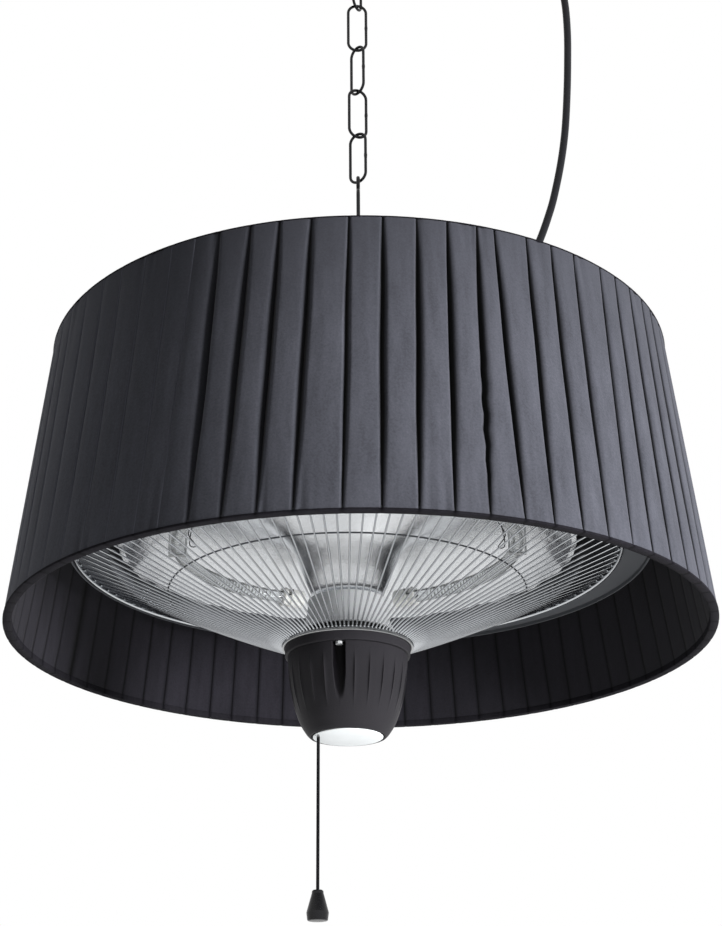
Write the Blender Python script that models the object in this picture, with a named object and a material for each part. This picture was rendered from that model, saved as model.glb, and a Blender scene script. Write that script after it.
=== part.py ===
"""A hanging electric patio heater: ceiling rose, chain, pleated shade, heater head and pull switch.

Metres, +Z up. The origin is the middle of the ceiling plate's top face, so the whole part hangs
below it. The chain runs down the Z axis. The viewer stands at -Y, and +X is on the right.
"""

import math

import bmesh
import bpy
from mathutils import Matrix, Vector

MM = 0.001

# Clearances
GAP = 0.3 * MM  # between two pieces that touch on the real heater
CUT = 1.0 * MM  # how far a cutter runs past the face that it opens
RUN_GAP = 0.8 * MM  # under a piece that swings

# How many flat sides the round pieces get
ROUND_L = 36
ROUND_MID = 28
ROUND_S = 16
ROUND_XS = 10
HEX = 6

# Ceiling rose
PLATE_R = 44 * MM
PLATE_T = 3 * MM
PLATE_HOLE_R = 2.6 * MM
PLATE_HOLE_OUT = 32 * MM  # from the middle to each of the two screw holes
ROSE_R = 52 * MM
ROSE_H = 29 * MM
ROSE_WALL = 1.8 * MM
ROSE_ROUND = 5 * MM
ROSE_COLLAR_R = 9 * MM
ROSE_COLLAR_H = 4 * MM
ROSE_ENTRY_DROP = 15.5 * MM  # the cable's hole in the rose wall, below the ceiling
GROMMET_LIP = 2.2 * MM
GROMMET_WALL = 1.6 * MM
TERMINAL_SIZE = (16 * MM, 22 * MM, 18 * MM)

# Hook and chain
HOOK_WIRE = 4.0 * MM
HOOK_RING_R = 8.5 * MM  # to the middle of the wire
HOOK_DROP = 55.2 * MM  # from the ceiling to the middle of the wire that carries the chain
LINK_COUNT = 5
LINK_LENGTH = 56.8 * MM
LINK_WIDTH = 20.5 * MM
LINK_WIRE = 2.8 * MM
LINK_YAWS_DEG = (64, 4, -48, 22, -34)  # how each link hangs, turned about Z from the XZ plane
HOOK_YAW_DEG = -30
LINK_ARC_STEPS = 6

# Eye rod
EYE_WIRE = 3.6 * MM
EYE_RING_R = 6.2 * MM
EYE_YAW_DEG = 90
EYE_TO_RIM = 459.4 * MM  # from the top of the eye to the shade's bottom edge
EYE_NECK = 4.0 * MM
EYE_OPEN_DEG = 85
NUT_R = 5.0 * MM
NUT_H = 3.2 * MM

# Shade
SHADE_BOTTOM_R = 300 * MM
SHADE_TOP_R = 275 * MM
SHADE_H = 251 * MM
PLEATS = 72
PLEAT_DEPTH = 3.0 * MM
CLOTH = 0.8 * MM
HEM_T = 0.8 * MM
HEM_H = 6.0 * MM
HOOP_W = 5.0 * MM
HOOP_H = 4.0 * MM
BINDING_T = 1.2 * MM
TOP_RING_D = 4.0 * MM
TOP_RING_DROP = 6.4 * MM  # from the shade's top edge to the middle of the ring
ARM_W = 12 * MM
ARM_T = 2 * MM
ARM_COUNT = 3
ARM_FIRST_DEG = 60
SPIDER_BOSS_R = 16 * MM

# Canopy, with heights measured up from the shade's bottom edge
CANOPY_FLANGE_R = 252 * MM
CANOPY_MOUTH_R = 221 * MM
CANOPY_FLAT_R = 130 * MM
CANOPY_H = 82 * MM
CANOPY_WALL = 1.5 * MM
CANOPY_LIP = 3.0 * MM

# The heater head under the canopy: grille, reflector, tubes, hub and pull switch
HEAD_X = -11.3 * MM  # the head hangs this far to the left of the chain

# Grille
GRILLE_RIM_R = 236.2 * MM
GRILLE_RIM_UP = 73 * MM
GRILLE_RIM_D = 4.5 * MM
GRILLE_FOOT_R = 53 * MM
GRILLE_FOOT_UP = -5.7 * MM
GRILLE_FOOT_BAND = 3.0 * MM
GRILLE_EDGE_BAND = 1.6 * MM
GRILLE_MID_R = 153.5 * MM
GRILLE_MID_BAND = 1.8 * MM
GRILLE_WIRES = 106
GRILLE_WIRE = 1.8 * MM

# Reflector and its column
REFLECTOR_R = 194 * MM
REFLECTOR_RIM_UP = 80.7 * MM
REFLECTOR_CROWN_R = 106 * MM
REFLECTOR_CROWN_UP = 122 * MM
REFLECTOR_WALL = 1.2 * MM
REFLECTOR_LIP = 4.0 * MM
TRUMPET_WAIST_R = 31 * MM
TRUMPET_FOOT_R = 34 * MM
TRUMPET_FOOT_UP = 33.5 * MM
SLEEVE_FOOT_R = 41 * MM
SLEEVE_FOOT_UP = 4.5 * MM
SLEEVE_WALL = 1.4 * MM
NECK_R = 30 * MM
TUBE_R = 8.5 * MM
TUBE_WALL = 2.2 * MM
TUBE_THREAD = 6.0 * MM  # how far the tube stands out below the nut in the hub
POST_R = 4 * MM
POST_COUNT = 3
POST_FIRST_DEG = 30

# Heating tubes
ELEMENT_R = 148 * MM
ELEMENT_UP = 84 * MM
ELEMENT_D = 12 * MM
ELEMENT_HALF_DEG = 62
ELEMENT_STEPS = 14
END_CAP_R = 8.5 * MM
END_CAP_L = 22 * MM
CLIP_W = 5 * MM
CLIP_T = 1.5 * MM

# Hub
COLLAR_R = 53.7 * MM
COLLAR_H = 8.7 * MM
COLLAR_DRAFT = 0.7 * MM
COLLAR_PLATE = 3 * MM
COLLAR_RING_W = 13.7 * MM
POT_TOP_R = 50.8 * MM
POT_H = 68.2 * MM
POT_FLOOR_R = 31 * MM
POT_WALL = 1.8 * MM
DISC_R = 29.8 * MM
DISC_T = 0.8 * MM
HUB_NUT_R = 14 * MM
HUB_NUT_H = 5 * MM
WELL_COUNT = 3
WELL_FIRST_DEG = -98
WELL_R = 6.5 * MM
WELL_WALL = 1.8 * MM
SCREW_HEAD_R = 3.2 * MM
SCREW_HEAD_H = 2.2 * MM
SCREW_R = 1.5 * MM
SCREW_L = 5.5 * MM

# Pull switch
CORD_X = -24.5 * MM
CORD_Y = -10.0 * MM
CORD_D = 2.7 * MM
CORD_L = 124.5 * MM
BUSH_WALL = 1.2 * MM
BUSH_H = 8 * MM
ROD_D = 2.4 * MM
KNOB_TOP_R = 3.6 * MM
KNOB_R = 9.0 * MM
KNOB_H = 24 * MM
KNOB_CHAMFER = 3.0 * MM
SWITCH_L = 30 * MM
SWITCH_H = 26 * MM
SWITCH_SLOT = 5 * MM
EAR_H = 9 * MM
LEVER_ARM = 12.5 * MM
LEVER_W = 4 * MM
LEVER_T = 4 * MM
LEVER_TAIL = 3 * MM
PIN_R = 1.2 * MM
PIN_PLAY = 0.1 * MM

# Junction box and power cable
BOX_L = 50 * MM
BOX_W = 48 * MM
BOX_H = 26 * MM
BOX_WALL = 2 * MM
BOX_LID = 2.6 * MM
CABLE_D = 7.2 * MM
GLAND_X = 101 * MM
GLAND_R = 10 * MM
GLAND_H = 8 * MM
GLAND_CAP_R = 8.6 * MM
GLAND_CAP_H = 10 * MM
RELIEF_ROOT_R = 6.6 * MM
RELIEF_TIP_R = 4.4 * MM
CABLE_POINTS = 38

# The cable's route in X and in height above the shade's bottom edge. It leaves the strain relief
# straight up, bows out to the right and comes back to the side of the ceiling rose.
CABLE_ROUTE = (
    (101, 236.6), (101, 246), (102.8, 256), (107, 267), (113.5, 281), (122, 297), (133, 316),
    (144.5, 335.5), (155, 355), (164.4, 375), (172.8, 395.5), (180, 416), (186.3, 437),
    (194.8, 474.5), (200.8, 511), (204.8, 550.5), (207.6, 589), (209.5, 630), (208.6, 668),
    (203, 701), (191.5, 728), (173, 745), (150, 752.5), (122, 753.5), (94, 751.5), (72, 749.8),
    (60, 749.5),
)

# Shares of a run and of a rise, chosen by eye
CANOPY_WALL_SHARES = ((0.0, 0.0), (0.05, 0.38), (0.22, 0.74), (0.55, 0.94), (1.0, 1.0))
DISH_SHARES = ((0.0, 0.0), (0.18, 0.4), (0.55, 0.84), (1.0, 1.0))
TRUMPET_SHARES = ((0.45, 0.18), (0.76, 0.45), (1.0, 0.82))
POT_SHARES = ((0.0, 0.0), (0.05, 0.28), (0.24, 0.56), (0.52, 0.81), (0.78, 0.95), (1.0, 1.0))
# One pleat: along the pitch, and across the depth. It is a flat pillow between two narrow grooves.
PLEAT_SHARES = ((0.0, 0.0), (0.09, 1.0), (0.91, 1.0))

# Places worked out from the sizes
CABLE_UNIT = MM
LINK_RISE = LINK_LENGTH - LINK_WIRE
LINK_PITCH = LINK_RISE - LINK_WIRE - GAP
HOOK_SEAT_Z = -HOOK_DROP
FIRST_LINK_TOP = HOOK_SEAT_Z + (HOOK_WIRE + LINK_WIRE) / 2 + GAP
LAST_LINK_BOTTOM = FIRST_LINK_TOP - (LINK_COUNT - 1) * LINK_PITCH - LINK_RISE
EYE_TOP_Z = LAST_LINK_BOTTOM + (LINK_WIRE + EYE_WIRE) / 2 + GAP
RIM_Z = EYE_TOP_Z - EYE_TO_RIM
CANOPY_UP = GRILLE_RIM_UP + GRILLE_RIM_D / 2 + GAP
CANOPY_TOP_UP = CANOPY_UP + CANOPY_H
CANOPY_IN_UP = CANOPY_TOP_UP - CANOPY_WALL
ROD_END_UP = CANOPY_IN_UP - 2 * GAP - 2 * NUT_H
GRILLE_EDGE_R = GRILLE_RIM_R * math.cos(math.pi / ROUND_L) - GRILLE_RIM_D / 2 - GAP - GRILLE_EDGE_BAND
GRILLE_SLOPE = (GRILLE_RIM_UP - GRILLE_FOOT_UP) / (GRILLE_EDGE_R - GRILLE_FOOT_R)
COLLAR_UP = GRILLE_FOOT_UP - (GRILLE_WIRE + GRILLE_FOOT_BAND * GRILLE_SLOPE) / 2 - GAP
POT_UP = COLLAR_UP - COLLAR_H - GAP
FLOOR_UP = POT_UP - POT_H
DISC_UP = FLOOR_UP - GAP - DISC_T
CORD_UP = DISC_UP - RUN_GAP
WELL_OUT = POT_TOP_R - CUT
TUBE_END_UP = COLLAR_UP - COLLAR_PLATE - GAP - HUB_NUT_H - TUBE_THREAD
SWITCH_UP = TUBE_END_UP - GAP - SWITCH_H


def above_rim(up):
    """The Z of a height above the shade's bottom edge."""
    return RIM_Z + up


def clear_scene():
    for thing in list(bpy.data.objects):
        bpy.data.objects.remove(thing, do_unlink=True)


def material(name, color, roughness, metallic=0.0):
    made = bpy.data.materials.new(name)
    made.use_nodes = True
    shader = made.node_tree.nodes["Principled BSDF"]
    shader.inputs["Base Color"].default_value = (*color, 1.0)
    shader.inputs["Roughness"].default_value = roughness
    shader.inputs["Metallic"].default_value = metallic
    return made


def add_object(name, data, finish):
    made = bpy.data.objects.new(name, data)
    made.data.materials.append(finish)
    bpy.context.scene.collection.objects.link(made)
    return made


def mesh_object(name, bm, finish, smooth_deg=30):
    bmesh.ops.recalc_face_normals(bm, faces=bm.faces)
    mesh = bpy.data.meshes.new(name)
    bm.to_mesh(mesh)
    bm.free()
    mesh.shade_smooth()
    mesh.set_sharp_from_angle(angle=math.radians(smooth_deg))
    return add_object(name, mesh, finish)


def turned(name, outline, sides, finish, center=(0.0, 0.0)):
    """A body turned about a vertical axis from an outline of (radius, z) points.

    An outline whose ends are on the axis is left open there, and any other is closed.
    """
    bm = bmesh.new()
    points = [bm.verts.new((r, 0.0, z)) for r, z in outline]
    edges = [bm.edges.new(pair) for pair in zip(points, points[1:])]
    if outline[0][0] > 0 or outline[-1][0] > 0:
        edges.append(bm.edges.new((points[-1], points[0])))
    bmesh.ops.spin(
        bm, geom=points + edges, cent=(0, 0, 0), axis=(0, 0, 1), angle=math.tau, steps=sides, use_merge=True
    )
    bmesh.ops.remove_doubles(bm, verts=bm.verts, dist=GAP / ROUND_L)
    bmesh.ops.translate(bm, verts=bm.verts, vec=(*center, 0.0))
    return mesh_object(name, bm, finish)


def offset_line(line, wall):
    """The line again, moved sideways by the wall, to the right of its direction."""
    moved = []
    for i, point in enumerate(line):
        before = Vector(point) - Vector(line[i - 1]) if i else None
        after = Vector(line[i + 1]) - Vector(point) if i + 1 < len(line) else None
        runs = [run.normalized() for run in (before, after) if run is not None]
        sides = [Vector((run.y, -run.x)) for run in runs]
        side = sum(sides, Vector((0.0, 0.0))).normalized()
        moved.append(tuple(Vector(point) + side * wall / max(side.dot(sides[0]), 0.5)))
    return moved


def shell_outline(line, wall):
    return list(line) + offset_line(line, wall)[::-1]


def run_of(start, end, shares):
    """Points between two corners, at shares of the run across and of the rise."""
    return [
        (start[0] + (end[0] - start[0]) * across, start[1] + (end[1] - start[1]) * rise)
        for across, rise in shares
    ]


def tube(name, points, diameter, finish, closed=False, resolution=2):
    """A round tube or wire along the points."""
    curve = bpy.data.curves.new(name, "CURVE")
    curve.dimensions = "3D"
    curve.bevel_depth = diameter / 2
    curve.bevel_resolution = resolution
    curve.use_fill_caps = not closed
    curve.render_resolution_u = 0
    curve.twist_mode = "MINIMUM"
    spline = curve.splines.new("POLY")
    spline.points.add(len(points) - 1)
    for knot, point in zip(spline.points, points):
        knot.co = (*point, 1.0)
    spline.use_cyclic_u = closed
    return add_object(name, curve, finish)


def band(inner, outer, low, high):
    """The outline of a plain ring with a rectangular section."""
    return [(inner, low), (outer, low), (outer, high), (inner, high)]


def disc(radius, low, high):
    """The outline of a plain disc or rod."""
    return [(0, low), (radius, low), (radius, high), (0, high)]


def ring(name, radius, diameter, z, finish, sides=ROUND_L, resolution=1):
    turn = math.tau / sides
    points = [(radius * math.cos(i * turn), radius * math.sin(i * turn), z) for i in range(sides)]
    return tube(name, points, diameter, finish, closed=True, resolution=resolution)


def block(name, low, high, finish, edge=0.0):
    bm = bmesh.new()
    bmesh.ops.create_cube(bm, size=1.0)
    size = [b - a for a, b in zip(low, high)]
    middle = [(a + b) / 2 for a, b in zip(low, high)]
    bmesh.ops.scale(bm, vec=size, verts=bm.verts)
    bmesh.ops.translate(bm, vec=middle, verts=bm.verts)
    made = mesh_object(name, bm, finish)
    if edge:
        bevel = made.modifiers.new("soft_edges", "BEVEL")
        bevel.width = edge
        bevel.segments = 2
        bevel.limit_method = "ANGLE"
    return made


def cutter(made):
    made.hide_render = True
    made.display_type = "WIRE"
    return made


def combine(target, other, operation="DIFFERENCE"):
    change = target.modifiers.new(other.name, "BOOLEAN")
    change.operation = operation
    change.solver = "EXACT"
    change.object = other


def rod_cutter(name, radius, low, high, center, sides=ROUND_XS):
    return cutter(turned(name, disc(radius, low, high), sides, FINISH["black_steel"], center))


def cross_cutter(name, radius, start, end, sides=ROUND_S):
    """A rod between two places that aren't one above the other."""
    run = Vector(end) - Vector(start)
    made = rod_cutter(name, radius, 0.0, run.length, (0.0, 0.0), sides)
    made.location = start
    made.rotation_euler = run.to_track_quat("Z", "Y").to_euler()
    return made


def polar(radius, degrees):
    angle = math.radians(degrees)
    return radius * math.cos(angle), radius * math.sin(angle)


def yawed(points, degrees):
    """Flat points (across, z) in the vertical plane that is turned about Z by the angle."""
    cos, sin = polar(1, degrees)
    return [(across * cos, across * sin, z) for across, z in points]


def joint_frame(name, pivot, parent=None):
    """An empty on a joint's axis. What moves with the joint is parented to it."""
    frame = bpy.data.objects.new(name, None)
    frame.empty_display_size = LINK_WIDTH
    frame["pivot"] = pivot
    frame.location = pivot
    if parent:
        frame.parent = parent
        frame.location = Vector(pivot) - Vector(parent["pivot"])
    bpy.context.scene.collection.objects.link(frame)
    return frame


def hang_on(frame, *pieces):
    for piece in pieces:
        piece.parent = frame
        piece.matrix_parent_inverse = Matrix.Translation(Vector(frame["pivot"])).inverted()


def nut(name, radius, bore_r, low, height, finish, center=(0.0, 0.0)):
    bore = (bore_r + GAP) / math.cos(math.pi / HEX)
    return turned(name, band(bore, radius, low, low + height), HEX, finish, center)


# Ceiling rose, fixed to the ceiling
def ceiling_rose():
    black, rubber = FINISH["black_steel"], FINISH["rubber"]
    plate = turned("ceiling_plate", disc(PLATE_R, -PLATE_T, 0), ROUND_MID, black)
    for side in (1, -1):
        at_hole = (0, side * PLATE_HOLE_OUT)
        combine(plate, rod_cutter(f"plate_hole_{side}", PLATE_HOLE_R, -PLATE_T - CUT, CUT, at_hole))

    line = [
        (HOOK_WIRE / 2 + GAP, -ROSE_H),
        (ROSE_R - ROSE_ROUND, -ROSE_H),
        (ROSE_R - ROSE_ROUND / 4, -ROSE_H + ROSE_ROUND / 4),
        (ROSE_R, -ROSE_H + ROSE_ROUND),
        (ROSE_R, -GAP),
    ]
    cup = turned("rose_cup", shell_outline(line, -ROSE_WALL), ROUND_MID, black)
    entry_z = -ROSE_ENTRY_DROP
    bore = CABLE_D / 2 + GAP
    sleeve = bore + GROMMET_WALL
    inside, outside = (ROSE_R - 2 * ROSE_WALL, 0, entry_z), (ROSE_R + CUT, 0, entry_z)
    combine(cup, cross_cutter("rose_entry", sleeve + GAP, inside, outside))

    face = ROSE_R + GAP
    grommet = turned(
        "rose_grommet",
        [
            (bore, -2 * GROMMET_LIP),
            (sleeve, -2 * GROMMET_LIP),
            (sleeve, 0),
            (sleeve + GROMMET_LIP, 0),
            (sleeve + GROMMET_LIP / 2, GROMMET_LIP),
            (bore, GROMMET_LIP),
        ],
        ROUND_S,
        rubber,
    )
    grommet.rotation_euler = (0, math.pi / 2, 0)
    grommet.location = (face, 0, entry_z)

    size_x, size_y, size_z = TERMINAL_SIZE
    terminal = block(
        "rose_terminal",
        (PLATE_R - CUT - size_x, -size_y / 2, -PLATE_T - GAP - size_z),
        (PLATE_R - CUT, size_y / 2, -PLATE_T - GAP),
        FINISH["white_plastic"],
        CUT,
    )
    return [plate, cup, grommet, terminal]


def wire_eye(ring_r, ring_z, neck, end_z, open_deg, up):
    """The middle line of a rod that ends in an eye, in its own plane; up is 1 with the eye on top."""
    first, last = -90 + open_deg / 4, 270 - open_deg / 2
    steps = 3 * LINK_ARC_STEPS // 2
    arc = [polar(ring_r, first + (last - first) * i / steps) for i in range(steps + 1)]
    line = [(0.0, end_z), (0.0, ring_z - up * (ring_r + neck))]
    return line + [(x, ring_z + up * z) for x, z in arc]


def hook():
    steel = FINISH["black_steel"]
    line = wire_eye(HOOK_RING_R, HOOK_SEAT_Z + HOOK_RING_R, EYE_NECK, -PLATE_T - GAP, EYE_OPEN_DEG, -1)
    made = tube("ceiling_hook", yawed(line, HOOK_YAW_DEG), HOOK_WIRE, steel)
    collar_low = -ROSE_H - GAP - ROSE_COLLAR_H
    collar = nut("rose_collar", ROSE_COLLAR_R, HOOK_WIRE / 2, collar_low, ROSE_COLLAR_H, steel)
    return [made, collar]


def chain_link(name, top_z, yaw):
    """An oval link of round wire. top_z is the middle of the wire in its upper bend."""
    bend = (LINK_WIDTH - LINK_WIRE) / 2
    upper, lower = top_z - bend, top_z - LINK_RISE + bend
    line = []
    for middle, first in ((upper, 0), (lower, 180)):
        for i in range(LINK_ARC_STEPS + 1):
            across, rise = polar(bend, first + 180 * i / LINK_ARC_STEPS)
            line.append((across, middle + rise))
    return tube(name, yawed(line, yaw), LINK_WIRE, FINISH["black_steel"], closed=True, resolution=1)


def chain():
    """The links from the top down, each on a frame at the wire that it hangs from."""
    frames, above = [], None
    for i, yaw in enumerate(LINK_YAWS_DEG):
        top_z = FIRST_LINK_TOP - i * LINK_PITCH
        carrier = (HOOK_WIRE if i == 0 else LINK_WIRE) + LINK_WIRE
        above = joint_frame(f"link_{i + 1}_pivot", (0.0, 0.0, top_z - carrier / 2 - GAP), above)
        hang_on(above, chain_link(f"chain_link_{i + 1}", top_z, yaw))
        frames.append(above)
    return frames


# Shade
def pleat_ring(radius):
    """The points round one edge of the pleated cloth, three to a pleat."""
    pitch = math.tau / PLEATS
    points = []
    for i in range(PLEATS):
        for along, out in PLEAT_SHARES:
            r = radius - PLEAT_DEPTH * (1 - out)
            angle = (i + along) * pitch
            points.append((r * math.cos(angle), r * math.sin(angle)))
    return points


def pleated_cloth():
    crest_drop = HEM_T + 2 * GAP
    rings = []
    low, high = above_rim(HOOP_H + GAP), above_rim(SHADE_H - BINDING_T - GAP)
    for radius, z in ((SHADE_BOTTOM_R - crest_drop, low), (SHADE_TOP_R - crest_drop, high)):
        for inward in (0.0, CLOTH):
            rings.append([(x, y, z) for x, y in pleat_ring(radius - inward)])
    bm = bmesh.new()
    out_low, in_low, out_high, in_high = [[bm.verts.new(p) for p in points] for points in rings]
    count = len(out_low)
    for a, b in ((out_low, out_high), (in_high, in_low), (out_high, in_high), (in_low, out_low)):
        for i in range(count):
            j = (i + 1) % count
            bm.faces.new((a[i], a[j], b[j], b[i]))
    return mesh_object("shade_fabric", bm, FINISH["fabric"], 20)


def shade():
    fabric, wire = FINISH["fabric"], FINISH["black_steel"]
    hem_in = SHADE_BOTTOM_R - HEM_T
    hem = turned("shade_hem", band(hem_in, SHADE_BOTTOM_R, above_rim(0), above_rim(HEM_H)), PLEATS, fabric)
    hoop_out = hem_in * math.cos(math.pi / PLEATS) - GAP
    hoop_line = band(hoop_out - HOOP_W, hoop_out, above_rim(0), above_rim(HOOP_H))
    bottom_hoop = turned("shade_bottom_hoop", hoop_line, PLEATS // 2, wire)
    cap_in = SHADE_TOP_R - PLEAT_DEPTH - CLOTH - 2 * HEM_T - 2 * GAP
    cap_low, cap_high = above_rim(SHADE_H - BINDING_T), above_rim(SHADE_H)
    binding = turned("shade_top_binding", band(cap_in, SHADE_TOP_R, cap_low, cap_high), PLEATS // 2, fabric)
    top_ring_r = cap_in - TOP_RING_D / 2 + HEM_T
    top_ring_z = above_rim(SHADE_H - TOP_RING_DROP)
    top_ring = ring("shade_top_ring", top_ring_r, TOP_RING_D, top_ring_z, wire)
    return [pleated_cloth(), hem, binding, bottom_hoop, top_ring, *spider(top_ring_r, top_ring_z)]


def spider(ring_r, ring_z):
    """Flat arms from a boss on the eye rod to the top ring, clamped between two nuts."""
    steel = FINISH["black_steel"]
    low = ring_z + TOP_RING_D / 2 + GAP
    high = low + ARM_T
    bore = EYE_WIRE / 2 + GAP
    made = turned("shade_spider", band(bore, SPIDER_BOSS_R, low, high), ROUND_S, steel)
    for i in range(ARM_COUNT):
        arm = block(
            f"spider_arm_{i + 1}",
            (SPIDER_BOSS_R - ARM_T, -ARM_W / 2, low),
            (ring_r + TOP_RING_D / 2 - GAP, ARM_W / 2, high),
            steel,
        )
        arm.rotation_euler = (0, 0, math.radians(ARM_FIRST_DEG + 360 * i / ARM_COUNT))
        combine(made, cutter(arm), "UNION")
    upper = nut("spider_nut_upper", NUT_R, EYE_WIRE / 2, high + GAP, NUT_H, steel)
    lower = nut("spider_nut_lower", NUT_R, EYE_WIRE / 2, low - GAP - NUT_H, NUT_H, steel)
    return [made, upper, lower]


def eye_rod():
    """The rod that carries everything below the chain. It ends in a nut under the canopy."""
    end_z = above_rim(ROD_END_UP)
    line = wire_eye(EYE_RING_R, EYE_TOP_Z - EYE_RING_R, EYE_NECK, end_z, EYE_OPEN_DEG, 1)
    made = tube("eye_rod", yawed(line, EYE_YAW_DEG), EYE_WIRE, FINISH["black_steel"])
    steel = FINISH["steel"]
    over, under = above_rim(CANOPY_TOP_UP + GAP), above_rim(CANOPY_IN_UP - GAP) - NUT_H
    upper = nut("canopy_nut_upper", NUT_R, EYE_WIRE / 2, over, NUT_H, steel)
    lower = nut("canopy_nut_lower", NUT_R, EYE_WIRE / 2, under, NUT_H, steel)
    return [made, upper, lower]


# Heater head
def canopy():
    """A spun steel dish with a flat flange that looks down past the grille."""
    flange, top = above_rim(CANOPY_UP), above_rim(CANOPY_TOP_UP)
    outer_mouth = CANOPY_MOUTH_R + CANOPY_WALL
    line = [(CANOPY_FLANGE_R, flange - CANOPY_LIP), (CANOPY_FLANGE_R, flange + CANOPY_WALL)]
    line += run_of((outer_mouth, flange + CANOPY_WALL), (CANOPY_FLAT_R, top), CANOPY_WALL_SHARES)
    line.append((EYE_WIRE / 2 + GAP, top))
    return turned("canopy", shell_outline(line, -CANOPY_WALL), ROUND_L, FINISH["grey_steel"])


def grille():
    """The cone of thin wires as one lattice: three round bands and the wires between them."""
    half = GRILLE_WIRE / 2
    bands = (
        (GRILLE_FOOT_R - GRILLE_FOOT_BAND / 2, GRILLE_FOOT_BAND),
        (GRILLE_MID_R - GRILLE_MID_BAND / 2, GRILLE_MID_BAND),
        (GRILLE_EDGE_R, GRILLE_EDGE_BAND),
    )
    radii = [r for start, width in bands for r in (start, start + width)]
    turn = math.tau / GRILLE_WIRES
    bm = bmesh.new()

    def corner(r, i, side, face):
        """side is -1 or 1 for the wire's two edges, face is -1 or 1 for its under and upper side."""
        angle = i * turn + side * half / r
        z = above_rim(GRILLE_FOOT_UP + (r - GRILLE_FOOT_R) * GRILLE_SLOPE) + face * half
        return bm.verts.new((r * math.cos(angle), r * math.sin(angle), z))

    # grid[row][column][face], with two columns to a wire
    grid = [
        [[corner(r, i, side, face) for face in (-1, 1)] for i in range(GRILLE_WIRES) for side in (-1, 1)]
        for r in radii
    ]
    columns = 2 * GRILLE_WIRES
    for row in range(len(radii) - 1):
        is_band = row % 2 == 0
        for c in range(columns):
            n = (c + 1) % columns
            a, b, d, e = grid[row][c], grid[row][n], grid[row + 1][c], grid[row + 1][n]
            wire = c % 2 == 0
            if is_band or wire:
                bm.faces.new((a[0], b[0], e[0], d[0]))
                bm.faces.new((d[1], e[1], b[1], a[1]))
            if not is_band and wire:
                bm.faces.new((a[0], d[0], d[1], a[1]))
                bm.faces.new((b[1], e[1], e[0], b[0]))
            if is_band and (row == 0 or not wire):
                bm.faces.new((a[1], b[1], b[0], a[0]))
            if is_band and (row == len(radii) - 2 or not wire):
                bm.faces.new((d[0], e[0], e[1], d[1]))
    silver = FINISH["silver_wire"]
    made = mesh_object("grille", bm, silver, 40)
    return [made, ring("grille_rim", GRILLE_RIM_R, GRILLE_RIM_D, above_rim(GRILLE_RIM_UP), silver)]


def reflector_line():
    """The polished face, from the rim over the crown and down the trumpet to its foot."""
    rim = (REFLECTOR_R, above_rim(REFLECTOR_RIM_UP))
    crown = (REFLECTOR_CROWN_R, above_rim(REFLECTOR_CROWN_UP))
    waist = (TRUMPET_WAIST_R, above_rim(TRUMPET_FOOT_UP))
    line = [(REFLECTOR_R + REFLECTOR_LIP, rim[1])]
    line += run_of(rim, crown, DISH_SHARES)
    line += run_of(crown, waist, TRUMPET_SHARES)
    line.append((TRUMPET_FOOT_R, above_rim(TRUMPET_FOOT_UP)))
    return line


def reflector():
    polished = FINISH["polished"]
    dish = turned("reflector", shell_outline(reflector_line(), REFLECTOR_WALL), ROUND_L, polished)
    bore = TUBE_R + GAP
    top = above_rim(TRUMPET_FOOT_UP) - GAP
    line = [(SLEEVE_FOOT_R, above_rim(SLEEVE_FOOT_UP)), (TRUMPET_FOOT_R, top), (bore, top)]
    sleeve = turned("reflector_sleeve", shell_outline(line, -SLEEVE_WALL), ROUND_MID, polished)
    low = above_rim(GRILLE_FOOT_UP + GRILLE_WIRE / 2) + GAP
    high = top - SLEEVE_WALL - GAP
    neck_low = above_rim(COLLAR_UP) + GAP
    neck_in = GRILLE_FOOT_R - GRILLE_FOOT_BAND / 2 - GAP
    neck = turned(
        "neck_spacer",
        [
            (bore, neck_low), (neck_in, neck_low), (neck_in, low),
            (NECK_R, low), (NECK_R, high), (bore, high),
        ],
        ROUND_MID,
        FINISH["black_plastic"],
    )
    return [dish, sleeve, neck, *posts()]


def posts():
    """Spacers from the reflector's crown to the canopy above it."""
    low = above_rim(REFLECTOR_CROWN_UP) + REFLECTOR_WALL + 2 * GAP
    high = above_rim(CANOPY_IN_UP) - GAP
    made = []
    for i in range(POST_COUNT):
        center = polar(REFLECTOR_CROWN_R, POST_FIRST_DEG + 360 * i / POST_COUNT)
        line = disc(POST_R, low, high)
        made.append(turned(f"reflector_post_{i + 1}", line, ROUND_XS, FINISH["steel"], center))
    return made


def centre_tube():
    """The tube that ties the reflector column, the grille and the hub together, and its nut."""
    low, high = above_rim(TUBE_END_UP), above_rim(ROD_END_UP) - GAP
    bore = TUBE_R - TUBE_WALL
    made = turned("centre_tube", band(bore, TUBE_R, low, high), ROUND_S, FINISH["steel"])
    nut_low = low + TUBE_THREAD
    return [made, nut("hub_nut", HUB_NUT_R, TUBE_R, nut_low, HUB_NUT_H, FINISH["steel"])]


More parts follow.
